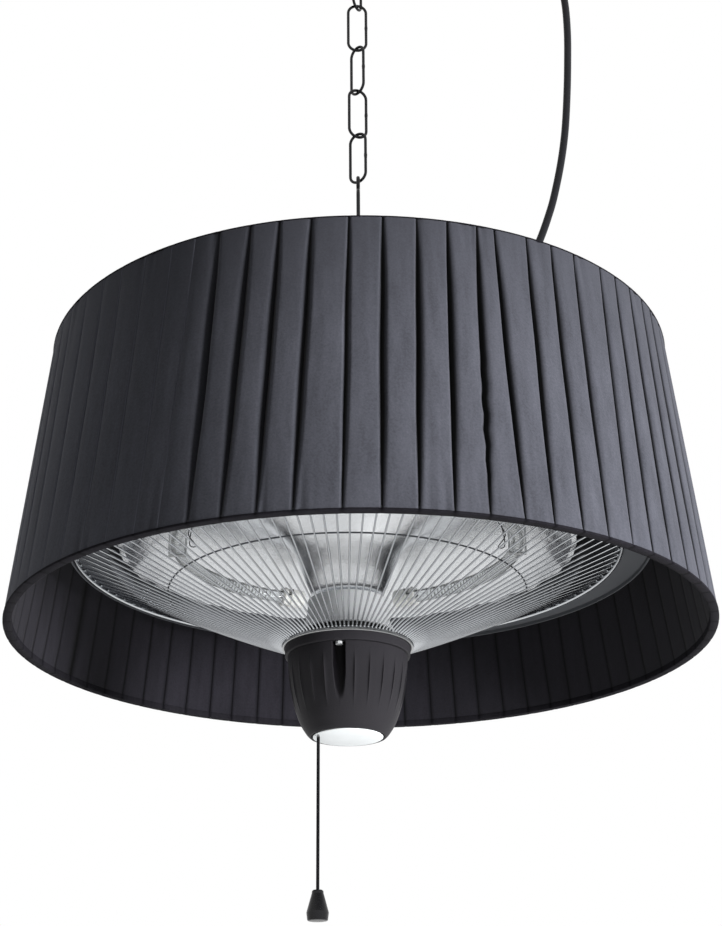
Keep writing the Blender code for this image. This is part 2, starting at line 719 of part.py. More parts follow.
def elements():
    """Two curved quartz tubes with a ceramic cap on each straight end and a clip at the middle."""
    made = []
    z = above_rim(ELEMENT_UP)
    for side, middle in (("right", 0), ("left", 180)):
        first, step = middle - ELEMENT_HALF_DEG, 2 * ELEMENT_HALF_DEG / ELEMENT_STEPS
        arc = [(*polar(ELEMENT_R, first + i * step), z) for i in range(ELEMENT_STEPS + 1)]
        ends = []
        for sign in (-1, 1):
            end = Vector(arc[0] if sign < 0 else arc[-1])
            along = Vector((*polar(1, middle + sign * (ELEMENT_HALF_DEG + 90)), 0.0))
            ends.append(end + along * ELEMENT_D / 2)
            cap = [ends[-1] + along * GAP, ends[-1] + along * (GAP + END_CAP_L)]
            place = "back" if cap[0].y > 0 else "front"
            made.append(tube(f"end_cap_{side}_{place}", cap, 2 * END_CAP_R, FINISH["ceramic"]))
        made.append(tube(f"quartz_tube_{side}", [ends[0], *arc, ends[1]], ELEMENT_D, FINISH["quartz"]))
        made.append(element_clip(side, middle, z))
    return made


def element_clip(side, middle, z):
    """A bent strip that holds a heating tube under the reflector."""
    top = dish_face(ELEMENT_R) - GAP
    ring_in = ELEMENT_D / 2 + GAP
    ring_out = ring_in + CLIP_T
    outline = [
        (-ring_out, top), (-ring_out, z - ring_out), (ring_out, z - ring_out), (ring_out, top),
        (ring_in, top), (ring_in, z - ring_in), (-ring_in, z - ring_in), (-ring_in, top),
    ]
    bm = bmesh.new()
    low = [bm.verts.new((across, -CLIP_W / 2, height)) for across, height in outline]
    face = bm.faces.new(low)
    raised = bmesh.ops.extrude_face_region(bm, geom=[face])
    moved = [v for v in raised["geom"] if isinstance(v, bmesh.types.BMVert)]
    bmesh.ops.translate(bm, verts=moved, vec=(0, CLIP_W, 0))
    bmesh.ops.translate(bm, verts=bm.verts, vec=(ELEMENT_R, 0, 0))
    made = mesh_object(f"element_clip_{side}", bm, FINISH["steel"])
    made.rotation_euler = (0, 0, math.radians(middle))
    return made


def dish_face(radius):
    """The height of the reflector's polished face at the clip's outer leg."""
    far = radius + ELEMENT_D / 2 + GAP + CLIP_T
    line = reflector_line()
    for (r0, z0), (r1, z1) in zip(line, line[1:]):
        if r1 <= far <= r0:
            return z0 + (z1 - z0) * (r0 - far) / (r0 - r1)
    return line[0][1]


# Hub
def hub():
    plastic = FINISH["hub_plastic"]
    top, low = above_rim(COLLAR_UP), above_rim(COLLAR_UP - COLLAR_H)
    bore = TUBE_R + GAP
    plate_low = top - COLLAR_PLATE
    ring_in = COLLAR_R - COLLAR_RING_W
    collar = turned(
        "hub_collar",
        [
            (bore, top), (COLLAR_R, top), (COLLAR_R - COLLAR_DRAFT, low),
            (ring_in, low), (ring_in, plate_low), (bore, plate_low),
        ],
        ROUND_MID,
        plastic,
    )
    floor = above_rim(FLOOR_UP)
    line = run_of((POT_TOP_R, above_rim(POT_UP)), (POT_FLOOR_R, floor), POT_SHARES)
    solid = turned("hub_pot", [(0, above_rim(POT_UP)), *line, (0, floor)], ROUND_MID, plastic)
    inner = offset_line([*line, (0, floor)], POT_WALL)
    inner_floor = floor + POT_WALL
    inner_top = above_rim(POT_UP) + CUT
    hollow_line = [(0, inner_top), (inner[0][0], inner_top), *inner[1:]]
    hollow = cutter(turned("pot_hollow", hollow_line, ROUND_MID, plastic))
    screws = []
    ends = (floor - CUT, inner_top + CUT)
    angles = [WELL_FIRST_DEG + 360 * i / WELL_COUNT for i in range(WELL_COUNT)]
    for i, angle in enumerate(angles):
        center = polar(WELL_OUT, angle)
        combine(hollow, rod_cutter(f"well_wall_{i + 1}", WELL_R + WELL_WALL, *ends, center, ROUND_S))
    combine(solid, hollow)
    for i, angle in enumerate(angles):
        center = polar(WELL_OUT, angle)
        combine(solid, rod_cutter(f"well_{i + 1}", WELL_R, *ends, center, ROUND_S))
        screw_at = polar(WELL_OUT - (WELL_R - SCREW_HEAD_R - 2 * GAP), angle)
        hole_top = low + SCREW_L + GAP
        combine(collar, rod_cutter(f"screw_hole_{i + 1}", SCREW_R + GAP, low - CUT, hole_top, screw_at))
        head = low - GAP
        outline = [
            (0, head - SCREW_HEAD_H), (SCREW_HEAD_R, head - SCREW_HEAD_H), (SCREW_HEAD_R, head),
            (SCREW_R, head), (SCREW_R, low + SCREW_L), (0, low + SCREW_L),
        ]
        screws.append(turned(f"hub_screw_{i + 1}", outline, ROUND_XS, FINISH["steel"], screw_at))

    at_cord = (CORD_X, CORD_Y)
    bush_r = CORD_D / 2 + GAP + BUSH_WALL
    combine(solid, rod_cutter("bush_hole", bush_r + GAP, floor - CUT, inner_floor + CUT, at_cord))
    disc_low = above_rim(DISC_UP)
    plate = turned("hub_disc", disc(DISC_R, disc_low, disc_low + DISC_T), ROUND_MID, FINISH["white_plastic"])
    combine(plate, rod_cutter("disc_hole", CORD_D / 2 + 2 * GAP, disc_low - CUT, floor, at_cord))
    bush_bore = CORD_D / 2 + GAP
    bush = turned(
        "cord_bush",
        band(bush_bore, bush_r, floor, floor + BUSH_H),
        ROUND_S,
        FINISH["black_plastic"],
        at_cord,
    )
    return [collar, solid, plate, bush, *screws]


def switch():
    """The pull switch in the hub: a body with two ears, its pin, and the lever between the ears."""
    pin_x = CORD_X + LEVER_ARM
    low = above_rim(SWITCH_UP)
    pin_z = low + EAR_H / 2
    mid_y = CORD_Y
    half = (SWITCH_SLOT + 2 * LEVER_W) / 2
    body = block(
        "switch_body",
        (pin_x - EAR_H / 2, mid_y - half, low),
        (pin_x - EAR_H / 2 + SWITCH_L, mid_y + half, low + SWITCH_H),
        FINISH["black_plastic"],
    )
    slot = block(
        "switch_slot",
        (pin_x - EAR_H / 2 - CUT, mid_y - SWITCH_SLOT / 2, low - CUT),
        (pin_x + EAR_H, mid_y + SWITCH_SLOT / 2, low + EAR_H + LEVER_T),
        FINISH["black_plastic"],
    )
    combine(body, cutter(slot))
    across = [(pin_x, mid_y - half - CUT, pin_z), (pin_x, mid_y + half + CUT, pin_z)]
    combine(body, cross_cutter("pin_hole", PIN_R + 2 * PIN_PLAY, *across))
    pin_ends = [(pin_x, mid_y - half, pin_z), (pin_x, mid_y + half, pin_z)]
    pin = tube("lever_pin", pin_ends, 2 * PIN_R, FINISH["steel"])
    lever = block(
        "switch_lever",
        (CORD_X - LEVER_TAIL, mid_y - LEVER_W / 2, pin_z - LEVER_T / 2),
        (pin_x + LEVER_TAIL, mid_y + LEVER_W / 2, pin_z + LEVER_T / 2),
        FINISH["white_plastic"],
        CUT,
    )
    combine(lever, cross_cutter("lever_bore", PIN_R + 2 * PIN_PLAY, *across))
    frame = joint_frame("lever_pivot", (pin_x, mid_y, pin_z), HEATER)
    hang_on(frame, lever)
    return [body, pin], pin_z - LEVER_T / 2


def pull_cord(lever_low):
    """The sliding rod under the lever, the cord that swings from it and the knob on its end."""
    slide = joint_frame("pull_slide", (CORD_X, CORD_Y, above_rim(CORD_UP)), HEATER)
    low, high = above_rim(CORD_UP) + RUN_GAP, lever_low - GAP
    rod = tube("pull_rod", [(CORD_X, CORD_Y, low), (CORD_X, CORD_Y, high)], ROD_D, FINISH["steel"])
    hang_on(slide, rod)
    swing = joint_frame("cord_swing", (CORD_X, CORD_Y, above_rim(CORD_UP)), slide)
    top = above_rim(CORD_UP)
    cord_ends = [(CORD_X, CORD_Y, top), (CORD_X, CORD_Y, top - CORD_L)]
    cord = tube("pull_cord", cord_ends, CORD_D, FINISH["black_cord"])
    head = top - CORD_L - GAP
    foot = head - KNOB_H
    knob = turned(
        "pull_knob",
        [
            (0, head), (KNOB_TOP_R - KNOB_CHAMFER / 3, head), (KNOB_TOP_R, head - KNOB_CHAMFER / 3),
            (KNOB_R, foot + KNOB_CHAMFER), (KNOB_R - KNOB_CHAMFER / 2, foot), (0, foot),
        ],
        ROUND_S,
        FINISH["gloss_plastic"],
        (CORD_X, CORD_Y),
    )
    hang_on(swing, cord, knob)


# Power supply
def junction_box():
    """The box on the canopy, its lid, and the gland and strain relief of the power cable."""
    black, rubber = FINISH["black_plastic"], FINISH["rubber"]
    low = above_rim(CANOPY_TOP_UP) + GAP
    high = low + BOX_H
    left, right = GLAND_X - BOX_L / 2, GLAND_X + BOX_L / 2
    body = block("junction_box", (left, -BOX_W / 2, low), (right, BOX_W / 2, high), black)
    hollow = block(
        "box_hollow",
        (left + BOX_WALL, -BOX_W / 2 + BOX_WALL, low + BOX_WALL),
        (right - BOX_WALL, BOX_W / 2 - BOX_WALL, high + CUT),
        black,
    )
    combine(body, cutter(hollow))
    lid_low = high + GAP
    lid_high = lid_low + BOX_LID
    corners = (left, -BOX_W / 2, lid_low), (right, BOX_W / 2, lid_high)
    lid = block("junction_lid", *corners, black, BOX_LID / 3)
    at_gland = (GLAND_X, 0.0)
    gland_low = lid_high + GAP
    gland_high = gland_low + GLAND_H
    gland = turned("cable_gland", disc(GLAND_R, gland_low, gland_high), HEX, black, at_gland)
    cap_low = gland_high + GAP
    cap_high = cap_low + GLAND_CAP_H
    cap = turned(
        "gland_cap",
        [
            (0, cap_low), (GLAND_CAP_R, cap_low), (GLAND_CAP_R, cap_high - CUT),
            (GLAND_CAP_R - CUT, cap_high), (0, cap_high),
        ],
        ROUND_S,
        black,
        at_gland,
    )
    relief_low = cap_high + GAP
    relief_high = above_rim(CABLE_ROUTE[0][1] * CABLE_UNIT) - GAP
    relief = turned(
        "strain_relief",
        [(0, relief_low), (RELIEF_ROOT_R, relief_low), (RELIEF_TIP_R, relief_high), (0, relief_high)],
        ROUND_S,
        rubber,
        at_gland,
    )
    return [body, lid, gland, cap, relief]


def smooth_route(points, count):
    """Evenly numbered points on a smooth curve through the route's own points."""
    ends = [points[0], *points, points[-1]]
    made = []
    for k in range(count):
        place = k * (len(points) - 1) / (count - 1)
        i = min(int(place), len(points) - 2)
        t = place - i
        a, b, c, d = (Vector(p) for p in ends[i:i + 4])
        made.append(
            (2 * b + (c - a) * t + (2 * a - 5 * b + 4 * c - d) * t**2 + (3 * b - a - 3 * c + d) * t**3) / 2
        )
    return made


def power_cable():
    route = [(x * CABLE_UNIT, 0.0, above_rim(up * CABLE_UNIT)) for x, up in CABLE_ROUTE]
    return tube("power_cable", smooth_route(route, CABLE_POINTS), CABLE_D, FINISH["rubber"])


def heater_head():
    """Everything under the canopy, made round the Z axis and then set to its place beside it."""
    before = set(bpy.data.objects)
    pieces, lever_low = switch()
    pieces += [*grille(), *reflector(), *centre_tube(), *elements(), *hub()]
    pull_cord(lever_low)
    for made in set(bpy.data.objects) - before:
        if made.parent in (None, HEATER):
            made.location.x += HEAD_X
    hang_on(HEATER, *pieces)


clear_scene()
FINISH = {
    "black_steel": material("black_steel", (0.018, 0.018, 0.02), 0.42, 0.0),
    "grey_steel": material("grey_steel", (0.055, 0.058, 0.062), 0.5, 0.0),
    "steel": material("steel", (0.55, 0.55, 0.56), 0.32, 1.0),
    "silver_wire": material("silver_wire", (0.62, 0.64, 0.66), 0.3, 1.0),
    "polished": material("polished", (0.78, 0.79, 0.8), 0.12, 1.0),
    "fabric": material("fabric", (0.05, 0.05, 0.056), 0.85),
    "hub_plastic": material("hub_plastic", (0.03, 0.028, 0.03), 0.5),
    "black_plastic": material("black_plastic", (0.015, 0.015, 0.016), 0.55),
    "white_plastic": material("white_plastic", (0.8, 0.82, 0.83), 0.5),
    "gloss_plastic": material("gloss_plastic", (0.01, 0.01, 0.01), 0.2),
    "quartz": material("quartz", (0.75, 0.77, 0.78), 0.15),
    "ceramic": material("ceramic", (0.8, 0.78, 0.74), 0.6),
    "rubber": material("rubber", (0.015, 0.015, 0.016), 0.6),
    "black_cord": material("black_cord", (0.01, 0.01, 0.01), 0.7),
}
ROSE = joint_frame("ceiling_frame", (0.0, 0.0, 0.0))
hang_on(ROSE, *ceiling_rose(), *hook())
LINKS = chain()
HEATER = joint_frame("heater_pivot", (0.0, 0.0, LAST_LINK_BOTTOM), LINKS[-1])
hang_on(HEATER, *eye_rod(), *shade(), canopy(), *junction_box(), power_cable())
heater_head()
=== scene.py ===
# %% [markdown]
# # A patio heater that hangs on a chain
# Every piece is made in metres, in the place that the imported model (the frame) gives it, and
# rides on one of its bodies. The camera comes first, then kits for finishes and shapes, the
# cords, the light, and the pieces from the ceiling down.

# %% The frame
import math
import random
import bmesh
import bpy
from mathutils import Matrix, Vector


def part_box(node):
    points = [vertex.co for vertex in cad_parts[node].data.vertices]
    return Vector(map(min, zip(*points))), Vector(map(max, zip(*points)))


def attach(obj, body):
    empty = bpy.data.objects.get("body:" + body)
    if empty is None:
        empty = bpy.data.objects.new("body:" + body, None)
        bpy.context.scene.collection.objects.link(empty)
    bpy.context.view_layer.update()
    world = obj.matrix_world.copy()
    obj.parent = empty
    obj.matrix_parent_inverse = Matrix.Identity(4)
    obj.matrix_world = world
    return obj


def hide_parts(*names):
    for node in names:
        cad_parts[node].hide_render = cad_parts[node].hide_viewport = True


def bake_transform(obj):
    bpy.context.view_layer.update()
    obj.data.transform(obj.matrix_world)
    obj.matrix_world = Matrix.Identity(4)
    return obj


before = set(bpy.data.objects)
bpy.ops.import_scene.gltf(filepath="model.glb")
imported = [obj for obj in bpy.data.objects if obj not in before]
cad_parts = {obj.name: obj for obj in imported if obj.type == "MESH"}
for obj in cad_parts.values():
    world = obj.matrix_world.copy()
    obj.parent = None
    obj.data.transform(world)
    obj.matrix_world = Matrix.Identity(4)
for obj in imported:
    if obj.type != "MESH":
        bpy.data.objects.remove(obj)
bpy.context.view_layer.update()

scene = bpy.context.scene

# %% [markdown]
# The photograph looks up into the shade from 1.4 m in front of the chain. The camera is tilted
# up by 23 degrees and rolled a little, because the shade leans in the picture.

# %% Camera
MM = 0.001
RIM_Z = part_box("shade_hem")[0].z
CAMERA_AT = (0.001, -1.4, -1.2017)
LENS_MM = 66.57
TILT, ROLL = 0.4049, -0.0066  # radians
eye = bpy.data.objects.new("camera", bpy.data.cameras.new("camera"))
scene.collection.objects.link(eye)
scene.camera = eye
eye.data.lens = LENS_MM
eye.data.clip_end = 50
eye.matrix_world = (
    Matrix.Translation(CAMERA_AT)
    @ Matrix.Rotation(math.pi / 2 + TILT, 4, "X")
    @ Matrix.Rotation(ROLL, 4, "Z")
)
print("camera height over the shade's edge:", round(CAMERA_AT[2] - RIM_Z, 3))

# %% [markdown]
# Colours are written as they look, from 0 to 255, and turned into a shader's linear numbers.

# %% Colour helpers
def rgb(red, green, blue):
    """A colour as the eye sees it, as the linear red, green, blue and alpha of a shader socket."""
    def linear(level):
        share = level / 255
        return share / 12.92 if share <= 0.04045 else ((share + 0.055) / 1.055) ** 2.4
    return (linear(red), linear(green), linear(blue), 1.0)


def tinted(colour, factor, lift=0.0):
    """A linear colour times a factor, with a lift so that black can lighten too."""
    return tuple(min(1.0, v * factor + lift) for v in colour[:3]) + (1.0,)


print("mid grey:", [round(v, 3) for v in rgb(128, 128, 128)])

# %% [markdown]
# A Wire holds one output of a node, and sums of wires add the Math nodes that do them. A Recipe
# is one finish being made: node() adds any other node from its sockets' values and its settings.

# %% Wires and recipes
def sign(operation, reflected=False):
    """What a sign between two values does when the wire is its left, or reflected its right one."""
    def add(self, other):
        pair = (other, self) if reflected else (self, other)
        return self.recipe.math(operation, *pair)
    return add


class Wire:
    """One output of a node, in a recipe, that can be used in sums."""

    def __init__(self, recipe, end):
        self.recipe, self.end = recipe, end

    __add__, __radd__ = sign("ADD"), sign("ADD", True)
    __sub__, __rsub__ = sign("SUBTRACT"), sign("SUBTRACT", True)
    __mul__, __rmul__ = sign("MULTIPLY"), sign("MULTIPLY", True)
    __pow__, __rpow__ = sign("POWER"), sign("POWER", True)


class Recipe:
    """A finish being made: a node tree and the moves that the finishes share."""

    def __init__(self, name, shelf=bpy.data.materials):
        self.holder = shelf.new(name)
        self.holder.use_nodes = True
        self.tree = self.holder.node_tree
        self.tree.nodes.clear()

    def node(self, kind, values=None, out=0, **settings):
        made = self.tree.nodes.new("ShaderNode" + kind)
        for key, value in settings.items():
            setattr(made, key, value)
        for key, value in (values or {}).items():
            if isinstance(value, Wire):
                self.tree.links.new(value.end, made.inputs[key])
            else:
                made.inputs[key].default_value = value
        return Wire(self, made.outputs[out]) if made.outputs else None

    def math(self, operation, *values):
        return self.node("Math", dict(enumerate(values)), operation=operation)

    def place(self):
        """Where a point of the piece is, in metres in the frame."""
        return self.node("TexCoord", out="Object")

    def drawn_out(self, factor):
        """The place with its height times a factor, which draws clouds out upwards."""
        values = {0: self.place(), 1: (1.0, 1.0, factor)}
        return self.node("VectorMath", values, operation="MULTIPLY")

    def around(self, x0=0.0, y0=0.0):
        """How far a point is from an upright line, its angle round the line and its height."""
        split = self.node("SeparateXYZ", {0: self.place()}).end.node
        x, y, z = (Wire(self, end) for end in split.outputs)
        x, y = x - x0, y - y0
        return (x * x + y * y) ** 0.5, self.math("ARCTAN2", y, x), z

    def attribute(self, name):
        """A number that store() has put on each point of the mesh."""
        return self.node("Attribute", out=2, attribute_name=name)

    def cloud(self, size, detail=2.0, vector=None):
        """Soft blotches about size metres across, as a wire from 0 to 1."""
        values = {"Vector": vector or self.place(), "Scale": 1 / size, "Detail": detail}
        return self.node("TexNoise", values)

    def lines(self, along):
        """Fine lines: a noise that only changes with one number."""
        return self.node("TexNoise", {"W": along, "Detail": 3.0}, noise_dimensions="1D")

    def mix(self, share, start, end):
        """A colour between start and end."""
        return self.node("Mix", {0: share, 6: start, 7: end}, out=2, data_type="RGBA")

    def ramp(self, value, start=0.0, end=1.0, low=0.3, high=0.7):
        """value from low to high, which most of a cloud keeps to, carried over to start to end."""
        return self.node("MapRange", {0: value, 1: low, 2: high, 3: start, 4: end})

    def bump(self, height, depth, strength):
        """A normal with relief: height goes from 0 to 1 and depth is in metres."""
        return self.node("Bump", {"Height": height, "Distance": depth, "Strength": strength})

    def surface(self, colours, rough, relief=None, **sockets):
        """Ends the recipe: colours, rough and relief hold what mix(), ramp() and bump() take."""
        values = {key.replace("_", " "): value for key, value in sockets.items()}
        values.update({"Base Color": self.mix(*colours), "Roughness": self.ramp(*rough)})
        if relief:
            values["Normal"] = self.bump(*relief)
        self.node("OutputMaterial", {"Surface": self.node("BsdfPrincipled", values)})
        return self.holder


def blotched(name, size, start, end, rough, grain=None, **sockets):
    """A finish that follows soft blotches. grain is a cloud's numbers, a depth and a strength."""
    r = Recipe(name)
    patch = r.cloud(size)
    relief = grain and (r.cloud(*grain[0]), *grain[1:])
    return r.surface((patch, start, end), (patch, *rough), relief, **sockets)


print("kit for finishes is ready")

# %% [markdown]
# The coat of painted metal is a little uneven in gloss, with the faint skin of powder paint.

# %% Paints
def painted(name, colour, gloss, sheen=0.5):
    """Powder paint. gloss is the roughness in the middle of its range."""
    return blotched(name, 0.03, colour, tinted(colour, 1.35, 0.002), (gloss - 0.06, gloss + 0.08),
                    ((0.0012, 1.0), 0.00006, 0.5), Specular_IOR_Level=sheen)


BLACK_PAINT = painted("black_paint", rgb(22, 22, 24), 0.38)
CHAIN_PAINT = painted("chain_paint", rgb(11, 11, 13), 0.26, 0.25)
HOOP_PAINT = painted("hoop_paint", rgb(28, 28, 31), 0.5)
print("paints:", BLACK_PAINT.name, CHAIN_PAINT.name, HOOP_PAINT.name)

# %% [markdown]
# The canopy is dark grey. Its inside over the reflector is painted near black, a painted shadow,
# so the colour changes with the distance from the middle and with the height.

# %% Canopy paint
def canopy_paint():
    r = Recipe("canopy_paint")
    out, _, z = r.around()
    patch = r.cloud(0.05)
    grey = r.mix(patch, rgb(84, 86, 90), rgb(94, 96, 100))
    over_dish = r.ramp(out, 1.0, 0.0, 0.214, 0.222)
    # painted shadow: near black over the dish and below the top, where the canopy's inside lies in
    # shadow
    painted_dark_inside = over_dish * r.ramp(z, 1.0, 0.0, RIM_Z + 0.152, RIM_Z + 0.156)
    return r.surface((painted_dark_inside * 0.75, grey, rgb(22, 22, 24)), (patch, 0.55, 0.65),
                     (r.cloud(0.0014, 1.0), 0.00006, 0.5), Specular_IOR_Level=0.1)


CANOPY_PAINT = canopy_paint()
print("canopy paint:", CANOPY_PAINT.name)

# %% [markdown]
# Zinc for the nuts, satin plate for the grille's wires, dull dark wire for its mid ring and the
# pull rod, bright spun aluminium for the reflector and brushed aluminium for its sleeve. The
# satin wires are painted darker over the tubes, a painted shadow, and the mid ring's dark wire is
# a painted shadow too, as the ring lies in shadow behind the wires. The rings of the spinning
# tool are lines that change with the distance from the head's middle line.

# %% Metals
def middle_line(node):
    """The x and y of the upright line through a node's middle."""
    low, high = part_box(node)
    return (low.x + high.x) / 2, (low.y + high.y) / 2


HEAD_X = middle_line("hub_collar")[0]
HEAD = (HEAD_X, 0.0)


def zinc():
    r = Recipe("zinc_steel")
    flake = r.node("TexVoronoi", {"Vector": r.place(), "Scale": 900.0})
    return r.surface((flake, rgb(176, 178, 180), rgb(205, 206, 205)),
                     (flake, 0.25, 0.42, 0.0, 0.6), (r.cloud(0.0008), 0.00003, 0.5), Metallic=1.0)


def satin_wire():
    """Nickel-plated wire. Over the tubes it is painted darker, a painted shadow, and at the rim it
    stays bright.
    """
    r = Recipe("satin_wire")
    out, _, _ = r.around(*HEAD)
    # painted shadow: the wires are darker over the tubes, where they lie in shadow
    painted_wire_shade = r.ramp(out, 1.0, 0.0, 0.19, 0.225) * r.ramp(out, 0.0, 1.0, 0.056, 0.07)
    patch = r.cloud(0.02)
    bright = r.mix(patch, rgb(196, 199, 203), rgb(214, 217, 220))
    return r.surface((painted_wire_shade * 0.42, bright, rgb(98, 100, 105)), (patch, 0.16, 0.24),
                     (r.cloud(0.0006), 0.00002, 0.4), Metallic=1.0)


def bright_aluminium():
    r = Recipe("bright_aluminium")
    out, _, z = r.around(*HEAD)
    rings = r.lines((out + z) * 1400.0)
    patch = r.cloud(0.035)
    return r.surface((patch, rgb(222, 225, 228), rgb(240, 241, 243)),
                     (rings * 0.5 + patch * 0.5, 0.16, 0.28),
                     (patch + rings * 0.04, 0.0012, 0.8), Metallic=1.0)


def brushed_aluminium():
    """The sleeve is brushed up and down, so it scatters light more than the dish."""
    r = Recipe("brushed_aluminium")
    _, turn, _ = r.around(*HEAD)
    brush = r.lines(turn * 60.0)
    return r.surface((brush, rgb(190, 192, 195), rgb(214, 216, 218)), (brush, 0.5, 0.6),
                     (brush, 0.00003, 0.5), Metallic=0.35)


ZINC, SATIN_WIRE = zinc(), satin_wire()
# Dark wire: for the mid ring its darkness is a painted shadow, as the ring lies behind the wires.
DULL_AND_SHADED_WIRE = blotched("dull_and_shaded_wire", 0.02, rgb(70, 72, 76), rgb(96, 98, 102), (0.3, 0.4),
                     ((0.0006,), 0.00002, 0.4), Metallic=1.0)
BRIGHT_ALUMINIUM, SLEEVE_ALUMINIUM = bright_aluminium(), brushed_aluminium()
print("metals:", ZINC.name, SATIN_WIRE.name, BRIGHT_ALUMINIUM.name, SLEEVE_ALUMINIUM.name)

# %% [markdown]
# The hub is moulded with a fine spark-eroded texture, so it looks matt; the knob comes from a
# polished mould. The rubber and the ceramic follow the same recipe.

# %% Plastics and rubber
def moulded(name, colour, gloss, grain=0.0005, relief=0.00004, sheen=0.5):
    """Grained plastic. Where the mesh stores a fold, as in a well or a line, it is painted near
    black, a painted shadow.
    """
    r = Recipe(name)
    texture = r.cloud(grain, 1.0)
    plain = r.mix(r.cloud(0.025), colour, tinted(colour, 1.2, 0.001))
    # painted shadow: the stored fold mixes the colour to near black
    return r.surface((r.attribute("fold"), plain, rgb(6, 5, 7)),
                     (texture, gloss - 0.05, gloss + 0.06), (texture, relief, 0.6),
                     Specular_IOR_Level=sheen)


HUB_PLASTIC = moulded("hub_plastic_grain", rgb(35, 34, 37), 0.55, 0.001, 0.00018, 0.14)
BLACK_PLASTIC = moulded("black_plastic_grain", rgb(27, 27, 28), 0.5)
WHITE_PLASTIC = moulded("white_plastic_grain", rgb(228, 232, 234), 0.45)
KNOB_PLASTIC = moulded("knob_plastic", rgb(13, 13, 15), 0.24, 0.003, 0.000005, 0.3)
BLACK_RUBBER = moulded("black_rubber", rgb(24, 24, 27), 0.42, 0.0004, 0.00003, 0.16)
CERAMIC = moulded("white_ceramic", rgb(230, 230, 228), 0.5, 0.0003, 0.00004, 0.3)
print("plastics:", HUB_PLASTIC.name, KNOB_PLASTIC.name, CERAMIC.name)

# %% [markdown]
# Two sets of slanting ridges, one turning left and one right round the cord, give the braid's
# diamonds.

# %% Braid
CORD_AT = middle_line("pull_cord")


def braid():
    r = Recipe("black_braid")
    _, turn, z = r.around(*CORD_AT)
    climb, strands = z * 2600.0, turn * 4.0
    weave = r.math("SINE", climb + strands) * r.math("SINE", climb - strands) * 0.5 + 0.5
    return r.surface((weave, rgb(10, 10, 11), rgb(26, 26, 28)), (weave, 0.8, 0.6, 0.0, 1.0),
                     (weave, 0.0002, 0.7), Specular_IOR_Level=0.15)


BLACK_BRAID = braid()
print("braid:", BLACK_BRAID.name)

# %% [markdown]
# The threads run up and round the shade. Two numbers are stored on the mesh: fold darkens the
# bottom of the grooves as a painted shadow, and the other lightens the lips where a fold lies
# flat, a painted highlight where the lip catches the light.

# %% Cloths
WEAVE_R = 0.29  # the shade's radius that the threads' width is measured at, in metres


def woven(name, colour, deep, thread=0.0009, rough=0.85, sheen=0.05):
    """Cloth with threads of a width in metres; deep is the colour of the painted shadow at the
    bottom of a fold.
    """
    r = Recipe(name)
    _, turn, z = r.around()
    warp = r.math("SINE", turn * (WEAVE_R * 2 * math.pi / thread))
    weft = r.math("SINE", z * (2 * math.pi / thread))
    weave = warp * weft * 0.5 + 0.5
    slub = r.cloud(0.007, 3.0, r.drawn_out(0.16))
    # painted sheen: soft upright patches of lighter colour stand for the cloth's shine, mixed with
    # slub and grain
    painted_sheen = r.cloud(0.05, 2.0, r.drawn_out(0.4))
    grain = r.cloud(0.0017)
    darker = tinted(colour, 0.74)
    slub_and_sheen = r.ramp(slub * 0.42 + grain * 0.34 + painted_sheen * 0.24)
    plain = r.mix(slub_and_sheen, darker, tinted(colour, 1.5, 0.001))
    # painted shadow: the cloth is darker towards the top, where less light falls from below
    painted_top_shade = r.ramp(z, 0.0, 0.6, RIM_Z + 0.14, RIM_Z + 0.25)
    folded = r.mix(r.attribute("fold"), r.mix(painted_top_shade, plain, darker), deep)
    # painted highlight: the stored lip number lightens the lips where a fold lies flat
    return r.surface((r.attribute("painted_lip_light") * 0.8, folded, tinted(colour, 2.3)),
                     (slub, rough - 0.05, rough + 0.06), (weave * 0.4 + grain * 0.6, 0.0003, 0.6),
                     Specular_IOR_Level=2.4 * sheen, Sheen_Weight=sheen, Sheen_Roughness=0.5)


# The last colour of each cloth is the painted shadow at the bottom of a fold or dent.
SHADE_CLOTH = woven("shade_cloth", rgb(68, 69, 76), rgb(2, 2, 3))
LINING_CLOTH = woven("lining_cloth", rgb(29, 28, 33), rgb(1, 1, 2), rough=0.7)
EDGE_TAPE = woven("edge_tape", rgb(27, 26, 30), rgb(6, 6, 8), 0.0006, sheen=0.012)
print("cloths:", SHADE_CLOTH.name, LINING_CLOTH.name, EDGE_TAPE.name)

# %% [markdown]
# The heating tubes are clear quartz round a coil of grey resistance wire.

# %% Quartz and coil
CLEAR_QUARTZ = blotched("clear_quartz", 0.01, rgb(232, 236, 238), rgb(247, 249, 250),
                        (0.04, 0.12), Transmission_Weight=0.9, IOR=1.46)
HEATING_WIRE = blotched("heating_wire", 0.004, rgb(150, 148, 144), rgb(196, 193, 188),
                        (0.45, 0.6), Metallic=0.8)
print("tubes:", CLEAR_QUARTZ.name, HEATING_WIRE.name)

# %% [markdown]
# Every new mesh goes through one function: smooth shading with crisp corners, the finish, the
# body that it rides on, and the nodes that it stands for.

# %% Making a piece
def piece(name, mesh, finish, slot, *nodes, body="heater", corner_deg=38):
    """Makes a piece of points and faces. body is None for one that rides on no body."""
    verts, faces = mesh
    data = bpy.data.meshes.new(name)
    data.from_pydata([tuple(v) for v in verts], [], faces)
    bm = bmesh.new()
    bm.from_mesh(data)
    bmesh.ops.recalc_face_normals(bm, faces=bm.faces)
    bm.to_mesh(data)
    bm.free()
    data.shade_smooth()
    data.set_sharp_from_angle(angle=math.radians(corner_deg))
    data.materials.append(finish)
    made = bpy.data.objects.new(name, data)
    scene.collection.objects.link(made)
    if body:
        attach(made, body)
    if nodes:
        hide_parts(*nodes)
    return made


def store(made, name, values):
    """Puts a number on each point of a piece, for its finish to read."""
    made.data.attributes.new(name, "FLOAT", "POINT").data.foreach_set("value", values)


print("piece() and store() are ready")

